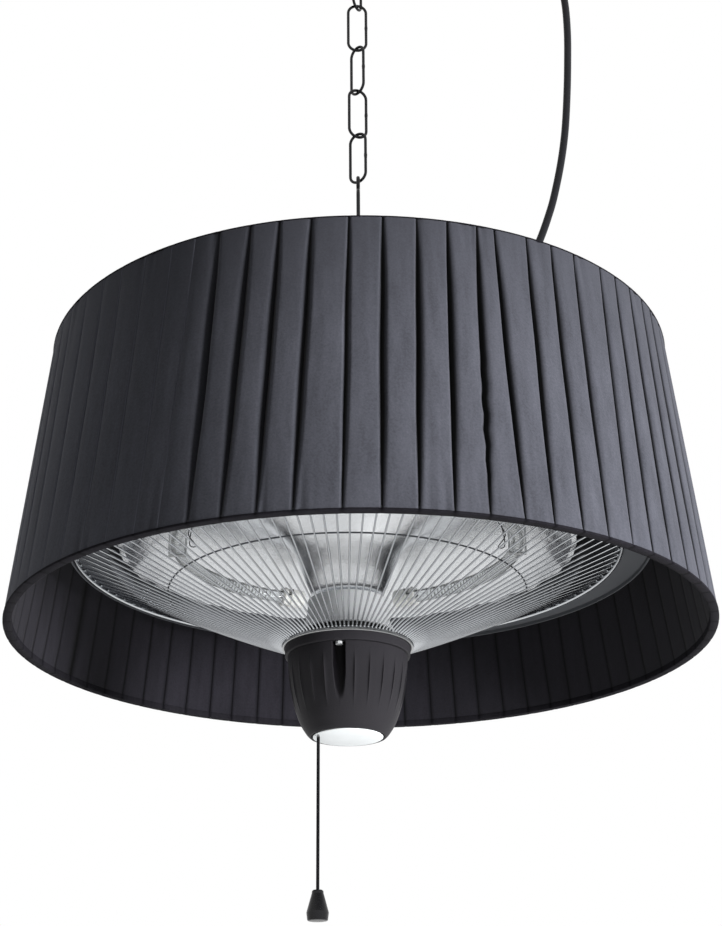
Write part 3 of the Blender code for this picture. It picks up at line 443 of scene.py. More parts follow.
# %% [markdown]
# Round parts are turned from an outline of radius and height. rounded() cuts each corner with a
# small arc, because real edges are never sharp and the arc catches the light.

# %% Turning
TINY = 1e-6  # a radius under this lies on the middle line


def ring_angles(sides):
    return [math.tau * i / sides for i in range(sides)]


def rounded(line, radius, closed=True, steps=3):
    """The outline with each corner replaced by a small arc."""
    made = []
    count = len(line)
    for i, corner in enumerate(line):
        if not closed and i in (0, count - 1) or corner[0] < TINY:
            made.append(corner)
            continue
        here, before, after = Vector(corner), Vector(line[i - 1]), Vector(line[(i + 1) % count])
        back, ahead = before - here, after - here
        reach = min(radius, back.length * 0.45, ahead.length * 0.45)
        start, end = here + back.normalized() * reach, here + ahead.normalized() * reach
        for k in range(steps + 1):
            t = k / steps
            made.append(tuple(start * (1 - t) ** 2 + here * 2 * t * (1 - t) + end * t**2))
    return made


def turned(outline, angles, center=(0.0, 0.0), shape=None, closed=True):
    """Points and faces of an outline turned round a vertical line. shape moves single points."""
    verts, faces, rows = [], [], []
    for r, z in outline:
        if r < TINY:
            rows.append([len(verts)] * len(angles))
            verts.append((center[0], center[1], z))
            continue
        rows.append(list(range(len(verts), len(verts) + len(angles))))
        for a in angles:
            rr, zz = shape(r, z, a) if shape else (r, z)
            verts.append((center[0] + rr * math.cos(a), center[1] + rr * math.sin(a), zz))
    pairs = list(zip(rows, rows[1:])) + ([(rows[-1], rows[0])] if closed else [])
    for low, high in pairs:
        for i in range(len(angles)):
            j = (i + 1) % len(angles)
            corners = [low[i], low[j], high[j], high[i]]
            face = [v for k, v in enumerate(corners) if v not in corners[:k]]
            if len(face) > 2:
                faces.append(face)
    return verts, faces


def up(mm):
    """The height that lies mm millimetres above the shade's bottom edge."""
    return RIM_Z + mm * MM


def in_metres(line):
    """An outline of radii and heights over the shade's edge, in metres in the frame."""
    return [(r * MM, up(z)) for r, z in line]


def lathe(name, line, finish, slot, *nodes, sides=128, center=HEAD, shape=None):
    """A piece of the heater turned from an outline in millimetres, round the head by default."""
    mesh = turned(in_metres(line), ring_angles(sides), center, shape)
    return piece(name, mesh, finish, slot, *nodes)


print("shade's edge at z", round(RIM_Z, 4))

# %% [markdown]
# Wires, cords and tubes are a circle carried along a path, turned as little as possible.

# %% Sweeping
def grid_faces(rows, columns, closed=False):
    """Faces between rows of points. Each row closes round; closed joins the last to the first."""
    faces = []
    for row in range(rows if closed else rows - 1):
        start, over = row * columns, (row + 1) % rows * columns
        for c in range(columns):
            d = (c + 1) % columns
            faces.append((start + c, start + d, over + d, over + c))
    return faces


def sweep(path, radius, sides=16, closed=False):
    """Points and faces of a tube. radius is a number, or one for each point of the path."""
    path = [Vector(p) for p in path]
    count = len(path)
    radii = radius if hasattr(radius, "__len__") else [radius] * count
    verts = []
    across = None
    for i, p in enumerate(path):
        if closed:
            along = path[(i + 1) % count] - path[i - 1]
        else:
            along = path[min(i + 1, count - 1)] - path[max(i - 1, 0)]
        along.normalize()
        if across is None:
            across = along.orthogonal()
        across = (across - along * across.dot(along)).normalized()
        other = along.cross(across)
        for a in ring_angles(sides):
            verts.append(p + (across * math.cos(a) + other * math.sin(a)) * radii[i])
    faces = grid_faces(count, sides, closed)
    if not closed:
        faces.append(tuple(reversed(range(sides))))
        faces.append(tuple(range((count - 1) * sides, count * sides)))
    return verts, faces


def merge(*meshes):
    """Several sets of points and faces as one."""
    verts, faces = [], []
    for points, sides in meshes:
        start = len(verts)
        verts += list(points)
        faces += [tuple(start + v for v in face) for face in sides]
    return verts, faces


def smooth_route(points, count):
    """Evenly numbered points on a smooth curve through the route's own points, flat or in space."""
    ends = [points[0], *points, points[-1]]
    made = []
    for k in range(count):
        place = k * (len(points) - 1) / (count - 1)
        i = min(int(place), len(points) - 2)
        t = place - i
        a, b, c, d = (Vector(p) for p in ends[i:i + 4])
        bend, turn = 2 * a - 5 * b + 4 * c - d, 3 * b - a - 3 * c + d
        made.append((2 * b + (c - a) * t + bend * t**2 + turn * t**3) / 2)
    return made


print("sweep() and smooth_route() are ready")

# %% [markdown]
# The cable leaves its strain relief straight up, bows out to the right and comes back to the
# ceiling rose. The photograph shows about 0.24 m of it; the rest is what the short way needs. It
# is fixed at both ends while the links swing between them, and it is made in six stretches that
# ride on no body.

# %% Power cable
CABLE_ROUTE = (
    (101, 236.6), (101, 246), (102.8, 256), (107, 267), (113.5, 281), (122, 297), (133, 316),
    (144.5, 335.5), (155, 355), (164.4, 375), (172.8, 395.5), (180, 416), (186.3, 437),
    (194.8, 474.5), (200.8, 511), (204.8, 550.5), (207.6, 589), (209.5, 630), (208.6, 668),
    (203, 701), (191.5, 728), (173, 745), (150, 752.5), (122, 753.5), (94, 751.5), (72, 749.8),
    (60, 749.5),
)
CABLE_D, CABLE_SIDES = 7.2 * MM, 20
CABLE_CUTS = (-0.085, -0.133, -0.183, -0.233, -0.283)  # the heights where stretches meet
cable_line = smooth_route([(x * MM, 0.0, up(height)) for x, height in CABLE_ROUTE], 149)[::-1]


def length_of(points):
    return sum((Vector(b) - Vector(a)).length for a, b in zip(points, points[1:]))


def power_cable():
    """The cable in six stretches from the rose down to the heater."""
    marks = [next(i for i, p in enumerate(cable_line) if p.z < level) for level in CABLE_CUTS]
    marks = [0, *marks, len(cable_line) - 1]
    verts, _ = sweep(cable_line, CABLE_D / 2, CABLE_SIDES)
    made = []
    for k, (first, last) in enumerate(zip(marks, marks[1:])):
        run = cable_line[first:last + 1]
        points = verts[first * CABLE_SIDES:(last + 1) * CABLE_SIDES]
        faces = grid_faces(len(run), CABLE_SIDES)
        if first == 0:
            faces.append(tuple(range(CABLE_SIDES)))
        if last == len(cable_line) - 1:
            faces.append(tuple((last - first) * CABLE_SIDES + j for j in range(CABLE_SIDES)))
        stretch = piece(f"cable_{k + 1}", (points, faces), BLACK_RUBBER, "rubber", "power_cable",
                        body=None)
        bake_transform(stretch)
        made.append(stretch)
    return made


cable = power_cable()
print("cable:", len(cable), "stretches,", round(length_of(cable_line), 3), "m")

# %% [markdown]
# A tapered rubber sleeve keeps the cable from kinking where it enters the side of the rose. It
# is turned upright and then laid on its side.

# %% Sleeve on the grommet
def grommet_sleeve():
    low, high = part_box("rose_grommet")
    face, middle = high.x - 0.3 * MM, (low.z + high.z) / 2
    line = [(3.72, 0.0), (6.6, 0.0), (6.6, 1.6), (5.7, 2.6), (4.7, 13.4), (3.72, 13.4)]
    outline = rounded([(r * MM, face + x * MM) for r, x in line], 0.5 * MM)
    verts, faces = turned(outline, ring_angles(40))
    laid = [(z, y, middle - x) for x, y, z in verts]
    return piece("grommet_sleeve", (laid, faces), BLACK_RUBBER, "rubber", body="rose")


print("sleeve:", grommet_sleeve().name)

# %% [markdown]
# The cord hangs straight down from the hub's floor to a small turned cone with a collar.

# %% Pull cord and knob
CORD_D = 2.7 * MM
cord_low, cord_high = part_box("pull_cord")
knob_low, knob_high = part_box("pull_knob")


def pull_knob():
    head = [(0.0, 0.0), (3.8, 0.0), (4.6, -0.8), (4.8, -2.6)]
    foot = [(8.8, 7.2), (9.0, 6.2), (8.3, 0.6), (7.6, 0.0), (0.0, 0.0)]
    line = [(r * MM, end.z + z * MM) for end, part in ((knob_high, head), (knob_low, foot))
            for r, z in part]
    outline = rounded(line, 0.3 * MM, closed=False)
    mesh = turned(outline, ring_angles(48), CORD_AT, closed=False)
    return piece("knob", mesh, KNOB_PLASTIC, "gloss_plastic", "pull_knob", body="cord")


def pull_cord():
    drop = cord_high.z - cord_low.z
    line = [(*CORD_AT, cord_high.z - drop * i / 39) for i in range(40)]
    made = piece("braided_cord", sweep(line, CORD_D / 2, 14), BLACK_BRAID, "black_cord",
                 "pull_cord", body="cord")


knob = pull_knob()
pull_cord()
print("pull cord:", round((cord_high.z - cord_low.z) * 1000, 1), "mm")

# %% [markdown]
# The white background is the world as the camera, mirrors and glass see it. What lights the
# heater is a softer grey world, a strong lamp on the right, a weak one on the left and one behind.

# %% Light
WHITE = (1.0, 1.0, 1.0, 1.0)


def seen_directly(r):
    """1 where the camera, a mirror or glass looks at something, and 0 where it only gives light."""
    kinds = ("Camera", "Glossy", "Transmission")
    camera, mirror, glass = (r.node("LightPath", out=f"Is {kind} Ray") for kind in kinds)
    return r.math("MAXIMUM", camera, r.math("MAXIMUM", mirror, glass))


def world_light(strength):
    r = Recipe("studio", bpy.data.worlds)
    scene.world = r.holder
    plain = r.node("Background", {"Color": (0.97, 0.98, 1.0, 1.0), "Strength": strength})
    white = r.node("Background", {"Color": WHITE, "Strength": 1.0})
    both = r.node("MixShader", {0: seen_directly(r), 1: plain, 2: white})
    r.node("OutputWorld", {"Surface": both})


def lamp(name, place, target, size, power):
    made = bpy.data.objects.new(name, bpy.data.lights.new(name, "AREA"))
    made.data.shape = "DISK"
    made.data.size = size
    made.data.energy = power
    made.visible_glossy = False
    made.location = place
    aim = Vector(target) - Vector(place)
    made.rotation_euler = aim.to_track_quat("-Z", "Y").to_euler()
    scene.collection.objects.link(made)


world_light(0.15)
lamp("key_lamp", (2.45, -1.64, -1.3), (0.0, 0.0, -0.65), 1.0, 200)
lamp("fill_lamp", (-2.9, 0.0, -1.2), (0.0, 0.0, -0.65), 1.4, 6)
lamp("back_lamp", (-1.2, 2.6, 0.2), (0.0, 0.0, -0.6), 1.6, 70)

# %% [markdown]
# The floor is pale and far below the heater, as a terrace is.

# %% Floor
FLOOR_Z, FLOOR_HALF = -2.3, 14


def floor():
    r = Recipe("pale_floor")
    pale = r.mix(r.cloud(0.4), rgb(226, 226, 224), rgb(236, 236, 235))
    matt = r.node("BsdfPrincipled", {"Base Color": pale, "Roughness": 0.8})
    white = r.node("Emission", {"Color": WHITE, "Strength": 1.0})
    both = r.node("MixShader", {0: seen_directly(r) * 0.8, 1: matt, 2: white})
    r.node("OutputMaterial", {"Surface": both})
    mesh = bpy.data.meshes.new("floor")
    corners = [(x * FLOOR_HALF, y * FLOOR_HALF, FLOOR_Z)
               for x, y in ((-1, -1), (1, -1), (1, 1), (-1, 1))]
    mesh.from_pydata(corners, [], [(0, 1, 2, 3)])
    mesh.materials.append(r.holder)
    made = bpy.data.objects.new("floor", mesh)
    scene.collection.objects.link(made)


floor()
scene.view_settings.view_transform = "Standard"
print("floor at", -FLOOR_Z, "m under the ceiling")

# %% [markdown]
# The cup of the rose is turned again with a rounder shoulder. The plate, collar, grommet and
# terminal keep their shapes and get softened edges.

# %% Ceiling rose
def rose():
    radius, low, wall = 52 * MM, -29 * MM, 1.8 * MM
    line = [(2.3 * MM, low), (radius, low), (radius, -0.3 * MM), (radius - wall, -0.3 * MM),
            (radius - wall, low + wall), (2.3 * MM, low + wall)]
    mesh = turned(rounded(line, 5 * MM, steps=6), ring_angles(96))
    piece("rose_shell", mesh, BLACK_PAINT, "black_steel", "rose_cup", body="rose")


def soften(finish, width, *nodes, segments=2):
    """Gives nodes of the frame a finish and small rounded edges; width is in millimetres."""
    for node in nodes:
        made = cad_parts[node]
        for place in made.material_slots:
            place.material = finish
        edge = made.modifiers.new("edge", "BEVEL")
        edge.width = width * MM
        edge.segments = segments
        edge.limit_method = "ANGLE"
        edge.angle_limit = math.radians(35)
        edge.use_clamp_overlap = True


rose()
soften(BLACK_PAINT, 0.6, "ceiling_plate")
soften(BLACK_PAINT, 0.5, "rose_collar")
soften(BLACK_RUBBER, 0.3, "rose_grommet")
soften(WHITE_PLASTIC, 0.4, "rose_terminal")
print("rose: 104 mm across")

# %% [markdown]
# The hook, the eye and the chain are bent from round wire. A bead on one long side of each link
# is its weld. Every link hangs in a plane of its own, turned as the photograph shows.

# %% Hook, chain and eye rod
LINK_YAWS = (64, 4, -48, 22, -34)  # degrees, from the top link down
LINK_WIRE = 1.4  # the wire's radius in millimetres


def turn_line(line, degrees):
    """A line of x and z points, turned about the vertical."""
    c, s = math.cos(math.radians(degrees)), math.sin(math.radians(degrees))
    return [(x * c, x * s, z) for x, z in line]


def wire_eye(ring_r, ring_z, end_z, way):
    """A rod that ends in an eye; way is 1 with the eye on top. The neck is a smooth bend."""
    neck, straight, gap_deg = 4 * MM, 6 * MM, 85
    first, last = -90 + gap_deg / 4, 270 - gap_deg / 2
    arc = [math.radians(first + (last - first) * i / 40) for i in range(41)]
    loop = [(ring_r * math.cos(a), ring_z + way * ring_r * math.sin(a)) for a in arc]
    foot = (0.0, ring_z - way * (ring_r + neck))
    joint = smooth_route([(0.0, foot[1] - way * straight), foot, loop[0], loop[2]], 13)
    return [(0.0, end_z), *joint[:9], *loop]


def oval(top_z):
    """The middle line of a link whose upper bend has its highest point at top_z."""
    bend, rise = 8.85 * MM, 54.0 * MM
    upper, lower = top_z - bend, top_z - rise + bend
    line = []
    for middle, first, goal in ((upper, 0, lower), (lower, 180, upper)):
        for i in range(25):
            a = math.radians(first + 7.5 * i)
            line.append((bend * math.cos(a), middle + bend * math.sin(a)))
        side, here = line[-1]
        line += [(side, here + (goal - here) * k / 12) for k in range(1, 12)]
    return line


def chain_link(number, yaw):
    node = f"chain_link_{number}"
    top_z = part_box(node)[1].z - LINK_WIRE * MM
    line, middle = oval(top_z), top_z - 27 * MM
    radii = []
    for x, z in line:
        weld = 0.28 * math.exp(-((z - middle) / (1.1 * MM)) ** 2) if x > 0 else 0.0
        radii.append((LINK_WIRE + weld) * MM)
    mesh = sweep(turn_line(line, yaw), radii, 18, closed=True)
    piece(f"welded_link_{number}", mesh, CHAIN_PAINT, "black_steel", node, body=f"link_{number}")


for number, yaw in enumerate(LINK_YAWS):
    chain_link(number + 1, yaw)
hook_low, hook_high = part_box("ceiling_hook")
hook_line = turn_line(wire_eye(8.5 * MM, hook_low.z + 10.5 * MM, hook_high.z, -1), -30)
piece("hook_wire", sweep(hook_line, 2.0 * MM, 20), BLACK_PAINT, "black_steel", "ceiling_hook",
      body="rose")
rod_low, rod_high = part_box("eye_rod")
rod_line = turn_line(wire_eye(6.2 * MM, rod_high.z - 8.0 * MM, rod_low.z, 1), 90)
piece("rod_wire", sweep(rod_line, 1.8 * MM, 20), CHAIN_PAINT, "black_steel", "eye_rod")
print("links:", len(LINK_YAWS), "rod:", round((rod_high.z - rod_low.z) * 1000), "mm")

# %% [markdown]
# The cloth is folded into 72 soft pillows with narrow grooves between them. Those that the
# photograph shows stand at the angles measured in it, at the bottom and the top edge; the ones
# round the back follow at even steps with a little chance. Angles run from the front to the right.
# A gape is the degrees by which a groove opens to a side; where both are 0 the folds lie flat.

# %% Where the grooves are
random.seed(7)
BOTTOM_DEG = [
    -59.3, -53.8, -48.4, -43.5, -38.2, -32.9, -28.8, -24.1, -19.1, -14.1, -9.0, -2.4, 2.9,
    7.9, 12.8, 17.8, 23.0, 27.6, 32.4, 37.1, 42.0, 46.6, 51.6, 56.8, 61.8, 66.5,
]
TOP_DEG = [
    -61.3, -54.7, -48.9, -43.7, -37.9, -32.1, -27.5, -23.1, -17.6, -12.7, -7.5, -1.5, 3.9,
    9.4, 14.4, 19.5, 22.6, 28.6, 33.6, 38.6, 45.2, 49.6, 54.5, 59.4, 63.8, 69.5,
]
GAPE_LEFT = [
    0.0, 0.0, 0.0, 0.0, 0.0, 0.0, 0.0, 1.2, 1.2, 1.0, 0.8, 0.35, 0.5,
    0.35, 0.3, 0.5, 0.4, 0.35, 0.4, 0.4, 0.35, 0.45, 0.5, 0.5, 0.6, 0.6,
]
GAPE_RIGHT = [
    0.0, 0.0, 0.0, 0.0, 0.0, 0.0, 0.0, 0.6, 0.7, 0.6, 0.6, 0.45, 0.6,
    0.7, 0.85, 0.75, 0.65, 0.7, 0.75, 0.75, 0.7, 0.85, 0.9, 0.95, 1.1, 1.1,
]
PLEATS = 72
FLAT_FROM = 255  # degrees: from here to the first measured groove the folds lie flat
unseen = PLEATS - len(BOTTOM_DEG) + 1
for seen in (BOTTOM_DEG, TOP_DEG):
    start, end = seen[-1], seen[0] + 360
    seen += [start + (end - start) * k / unseen + random.uniform(-0.3, 0.3)
             for k in range(1, unseen)]
while len(GAPE_LEFT) < PLEATS:
    shut = 0.0 if BOTTOM_DEG[len(GAPE_LEFT)] > FLAT_FROM else 1.0
    GAPE_LEFT.append(shut * random.uniform(0.35, 0.6))
    GAPE_RIGHT.append(shut * random.uniform(0.6, 0.9))
print("grooves:", len(BOTTOM_DEG), "of which", unseen - 1, "round the back")

# %% [markdown]
# A groove is narrow at the two edges and open between them, and steeper towards the right, where
# the light comes from; its painted shadow is darker there too. Short creases run in from the
# tapes at the two edges.

# %% Folds of the cloth
RUFFLED = 15  # the groove whose edge is gathered unevenly in its lower half
# Each crease is an angle and 1 for the top edge or 0 for the bottom.
CREASES = [(-38.5, 1), (-36.2, 1), (-34.6, 1), (18.6, 1), (17.2, 1), (-44, 0), (-42.3, 0),
           (-30, 0), (9.7, 1), (31, 1)]
CREASES += [(random.uniform(-180, 180), random.choice((0, 1))) for _ in range(46)]


def crease(degrees, share):
    """The depth in millimetres of the short creases that run in from the two edges."""
    deep = 0.0
    for place, top in CREASES:
        off = (degrees - place + 180) % 360 - 180
        if abs(off) < 2.5:
            away = 1 - share if top else share
            deep += 1.1 * math.exp(-(off / 0.55) ** 2) * math.exp(-away / 0.13)
    return deep


def between(x, places, values):
    """The value at x on a line drawn through the places."""
    for k in range(1, len(places)):
        if x <= places[k]:
            part = (x - places[k - 1]) / (places[k] - places[k - 1])
            return values[k - 1] + (values[k] - values[k - 1]) * max(0.0, part)
    return values[-1]


def openness(share):
    """How far a groove is open: it runs out to a narrow end at the bottom and the top."""
    return between(share, (0.0, 0.03, 0.07, 0.15, 0.3, 0.5, 0.7, 0.85, 0.93, 0.97, 1.0),
                   (0.22, 0.33, 0.42, 0.62, 0.9, 1.0, 0.95, 0.75, 0.5, 0.36, 0.28))


def groove_angle(i, share):
    """The angle of groove i at a height, with the slight wander of the real folds."""
    turn, i = divmod(i, PLEATS)
    wander = 0.05 * math.sin(share * 6 + i * 1.7) + 0.03 * math.sin(share * 15 + i * 2.9)
    if i == RUFFLED:
        wander += 0.17 * math.sin(share * 62) * math.exp(-((share - 0.26) / 0.2) ** 2)
    straight = BOTTOM_DEG[i] + (TOP_DEG[i] - BOTTOM_DEG[i]) * share
    return straight + wander * math.sin(math.pi * share) + 360 * turn


def groove_side(i, t, span, share):
    """The drop (1 is full depth), painted groove shadow and painted lip highlight at t across
    pillow i, span degrees wide.
    """
    right_side = t < 0.5
    k = (i if right_side else i + 1) % PLEATS
    gape = GAPE_RIGHT[k] if right_side else GAPE_LEFT[k]
    away = (t if right_side else 1 - t) * span
    if gape == 0.0:
        if right_side:
            return 0.17 * max(0.0, 1 - away / 1.6) ** 2, 0.0, 0.0
        # Where the folds lie flat, the lip is lightened as a painted highlight where it catches the
        # light.
        lip = max(0.0, 1 - away / 0.14)
        return 0.17 * lip, 0.0, min(1.0, 2 * lip)
    at = BOTTOM_DEG[k]
    wide = gape * (0.14 + 0.86 * openness(share)) * between(at, (0, 40, 60), (0.8, 0.86, 1.2))
    reach = 1.7 * wide + 0.25 if right_side else 1.1 * wide + 0.15
    crisp = between(at, (-30, -20, -8, 8, 40), (0.0, 0.2, 0.4, 0.8, 1.0))
    strong = between(at, (-26, -20, -12, 0), (0.5, 0.75, 0.9, 1.0))
    soft = 1.1 - 0.7 * crisp
    # painted shadow at the bottom of the groove, stronger towards the right
    dark = strong * min(1.0, max(0.0, (1 + soft / 2 - away / wide) / soft))
    return max(0.0, 1 - away / reach) ** 1.8, dark, 0.0


print("creases:", len(CREASES))

# %% [markdown]
# The outer cloth and the lining are grids of the same kind: rows from the bottom up, and some
# columns to each pillow. The outer cloth is half a millimetre thick.

# %% Cloth of the shade
ACROSS = (0.0, 0.025, 0.055, 0.09, 0.13, 0.17, 0.215, 0.27, 0.35, 0.47, 0.6, 0.7, 0.78, 0.84,
          0.885, 0.925, 0.96, 0.985)
ROWS = 52
IN_FRONT = range(6, 18)  # these pillows lean open to one side
# How full each pillow is and how it leans, in millimetres.
FULL = [random.uniform(-0.35, 0.0) for _ in range(PLEATS)]
LEAN = [random.uniform(-0.3, 0.3) + (1.3 if i in IN_FRONT else 0.0) for i in range(PLEATS)]


def cloth_wall(name, finish, shares, low, high, steps, point, corner_deg):
    """A wall of cloth. point(share, i, t, span, degrees) gives its radius, painted shadow and
    painted highlight.
    """
    verts, fold, painted_lip_light = [], [], []
    for share in shares:
        z = up(low + (high - low) * share)
        for i in range(PLEATS):
            start, end = groove_angle(i, share), groove_angle(i + 1, share)
            for t in steps:
                degrees = start + (end - start) * t
                r, dark, painted_lip = point(share, i, t, end - start, degrees)
                a = math.radians(degrees - 90)
                verts.append((r * math.cos(a), r * math.sin(a), z))
                fold.append(dark)
                painted_lip_light.append(painted_lip)
    mesh = verts, grid_faces(len(shares), PLEATS * len(steps))
    made = piece(name, mesh, finish, "fabric", "shade_fabric", corner_deg=corner_deg)
    store(made, "fold", fold)
    store(made, "painted_lip_light", painted_lip_light)
    return made


def pillow(share, i, t, span, degrees):
    """A point of the outer cloth, in from the crest that runs from 299.6 mm down to 274.2 mm."""
    side, middle = abs(2 * t - 1), math.sin(math.pi * share)
    sunk, dark, painted_lip = groove_side(i, t, span, share)
    drop = (0.3 + 5.0 * openness(share)) * MM * sunk
    drop += 0.6 * MM * side**2 * middle**0.5
    drop -= FULL[i] * MM * middle
    drop += LEAN[i] * MM * (t - 0.5) * middle
    drop += crease(degrees, share) * MM * (1 - side**6)
    return (299.6 - 25.4 * share) * MM - max(0.0, drop), dark, painted_lip


def shade_cloth():
    waves = [math.cos(math.pi * (row / (ROWS - 1))) for row in range(ROWS)]
    shares = [0.5 - 0.5 * wave * (0.75 + 0.25 * abs(wave)) for wave in waves]
    made = cloth_wall("pleated_cloth", SHADE_CLOTH, shares, 0.6, 250.4, ACROSS, pillow, 70)
    thick = made.modifiers.new("thickness", "SOLIDIFY")
    thick.thickness = 0.5 * MM
    thick.offset = -1.0
    return made


pleated = shade_cloth()

# %% [markdown]
# A plain dark lining is drawn tight behind the pillows. Its seams show as thin dark lines, and the
# seam that stands open is painted near black, a painted shadow in its gap.

# %% Lining
LINING_ROWS = 12
LOOSE_SEAM = 245.3  # degrees: the one seam that stands open, at the back left


def lining():
    loose = min(range(PLEATS), key=lambda i: abs(BOTTOM_DEG[i] - LOOSE_SEAM))

    def tight(share, i, t, span, degrees):
        middle = math.sin(math.pi * share)
        # fold: thin dark lines at the seams, and a wider band at the open seam, painted near black
        # as the shadow in its gap
        near = math.exp(-(t / (0.14 if i == loose else 0.04)) ** 2)
        belly = 0.35 * math.cos((t - 0.5) * math.pi) if t > 0 else 0.0
        r = (292.9 - 23.3 * share - 2.2 * middle**0.7) * MM + (0.35 * near - belly * middle) * MM
        return r, min(1.0, near * 1.1), 0.0

    shares = [row / (LINING_ROWS - 1) for row in range(LINING_ROWS)]
    steps = (-0.12, -0.035, 0.0, 0.035, 0.12, 0.32, 0.5, 0.68)
    return cloth_wall("inner_lining", LINING_CLOTH, shares, 4.6, 249.4, steps, tight, 80)


lined = lining()

# %% [markdown]
# A tape is folded round the bottom hoop and sewn through the folds, which leaves a dent at every
# groove; a narrower one binds the top.


def pleat_angles(share):
    """Angles for a tape, each with its dent: a few round each groove and some on each pillow."""
    made = {}
    for i in range(PLEATS):
        start, end = groove_angle(i, share), groove_angle(i + 1, share)
        for t in (-0.1, -0.03, 0.0, 0.03, 0.1, 0.3, 0.5, 0.7):
            made[math.radians(start + (end - start) * t - 90)] = math.exp(-(t / 0.045) ** 2)
    return made


def tape(name, line, share, node, dent):
    """A taped edge with a dent at each groove, pressed in towards the outline's middle."""
    line = in_metres(line)
    dents = pleat_angles(share)
    mid_r = sum(r for r, z in line) / len(line)
    mid_z = sum(z for r, z in line) / len(line)

    def press(r, z, a):
        inward = Vector((mid_r - r, mid_z - z))
        move = inward.normalized() * dent * dents[a]
        return r + move.x, z + move.y

    mesh = turned(rounded(line, 0.5 * MM, steps=2), list(dents), shape=press)
    made = piece(name, mesh, EDGE_TAPE, "fabric", node, corner_deg=60)
    rows = len(mesh[0]) // len(dents)
    # painted shadow: each dent at a groove is darkened
    store(made, "fold", [0.8 * deep for deep in dents.values()] * rows)
    return made


hem_line = [(300.0, 1.5), (300.0, -0.4), (292.6, -0.4), (292.6, 4.8), (293.1, 4.8), (293.1, 0.0),
            (299.5, 0.0), (299.5, 1.5)]
hem_tape = tape("hem_tape", hem_line, 0.0, "shade_hem", 0.25 * MM)
top_line = [(274.7, 251.3), (274.7, 250.2), (269.2, 250.0), (269.2, 251.3)]
top_tape = tape("top_tape", top_line, 1.0, "shade_top_binding", 0.12 * MM)
print("tapes:", hem_tape.name, top_tape.name)

# %% [markdown]
# The bottom hoop and the top ring are made again so that they look round. The spider on the rod
# gets paint and softer edges.

# %% Shade frame
def round_ring(name, node, radius, wire, height, finish, slot, center=0.0, sides=160):
    """A ring of round wire. Its radii and its height over the shade's edge are in millimetres."""
    line = [(center + radius * MM * math.cos(a), radius * MM * math.sin(a), up(height))
            for a in ring_angles(sides)]
    piece(name, sweep(line, wire * MM, 14, closed=True), finish, slot, node)


round_ring("top_wire", "shade_top_ring", 267.8, 2.0, 244.6, HOOP_PAINT, "black_steel")
hoop = [(293.4, 0.3), (297.9, 0.3), (297.9, 3.9), (293.4, 3.9)]
lathe("hoop_bar", rounded(hoop, 0.6), HOOP_PAINT, "black_steel", "shade_bottom_hoop", sides=144,
      center=(0.0, 0.0))
soften(HOOP_PAINT, 0.4, "shade_spider", "spider_nut_upper", "spider_nut_lower")
soften(ZINC, 0.4, "canopy_nut_upper", "canopy_nut_lower")
print("frame of the shade is dressed")

# %% [markdown]
# The canopy is spun from sheet: a flat flange with a turned-down lip, then a high wall that
# rounds into the top.

# %% Canopy
def shell(line, wall):
    """An open line and the same line moved sideways by the wall, as one closed outline."""
    moved = []
    for i, p in enumerate(line):
        before, after = Vector(line[max(i - 1, 0)]), Vector(line[min(i + 1, len(line) - 1)])
        along = (after - before).normalized()
        moved.append((p[0] + along.y * wall, p[1] - along.x * wall))
    return list(line) + moved[::-1]


def canopy():
    flange, top = 75.55, 157.55
    wall = [(0.0, 0.0), (0.05, 0.38), (0.22, 0.74), (0.55, 0.94), (1.0, 1.0)]
    run = [(222.5 + (130 - 222.5) * a, flange + 1.5 + (top - flange - 1.5) * b) for a, b in wall]
    curve = [tuple(p) for p in smooth_route(run, 33)]
    line = [(252.0, flange - 3.0), (252.0, flange + 1.5), *curve, (60.0, top), (2.3, top)]
    lathe("spun_canopy", shell(rounded(line, 0.9, closed=False), -1.5), CANOPY_PAINT,
          "grey_steel", "canopy", sides=160, center=(0.0, 0.0))


canopy()
print("canopy: 504 mm across")

# %% [markdown]
# A cone of 106 wires is welded to a small ring at the hub, a thin one over half way out and a
# thick one at the rim. The mid ring lies behind the wires, so it shows only between them.

# %% Grille
WIRES = 106
FIRST_WIRE = 0.85  # of a step, so that the wires in front stand as the photograph shows
WIRE_IN, WIRE_OUT = 56.3, 234.4  # the radii where a wire starts and ends, in millimetres
MID_RING = 153.6


def wire_height(r):
    """The height of a wire's middle line over the shade's edge, r in millimetres."""
    share = (r - 53.0) / (232.9 - 53.0)
    sag = 2.4 * math.sin(math.pi * min(1.0, share * 1.25)) * (1 - share)
    return -5.7 + 78.7 * share - sag


def bead(middle, lift, radius):
    """A blob of weld just over or under a point: a small ball with few faces."""
    middle = Vector(middle) + Vector((0, 0, lift))
    line = [middle + Vector((0, 0, h * radius)) for h in (-0.9, -0.4, 0.4, 0.9)]
    return sweep(line, [radius * w for w in (0.4, 0.9, 0.9, 0.4)], 8)


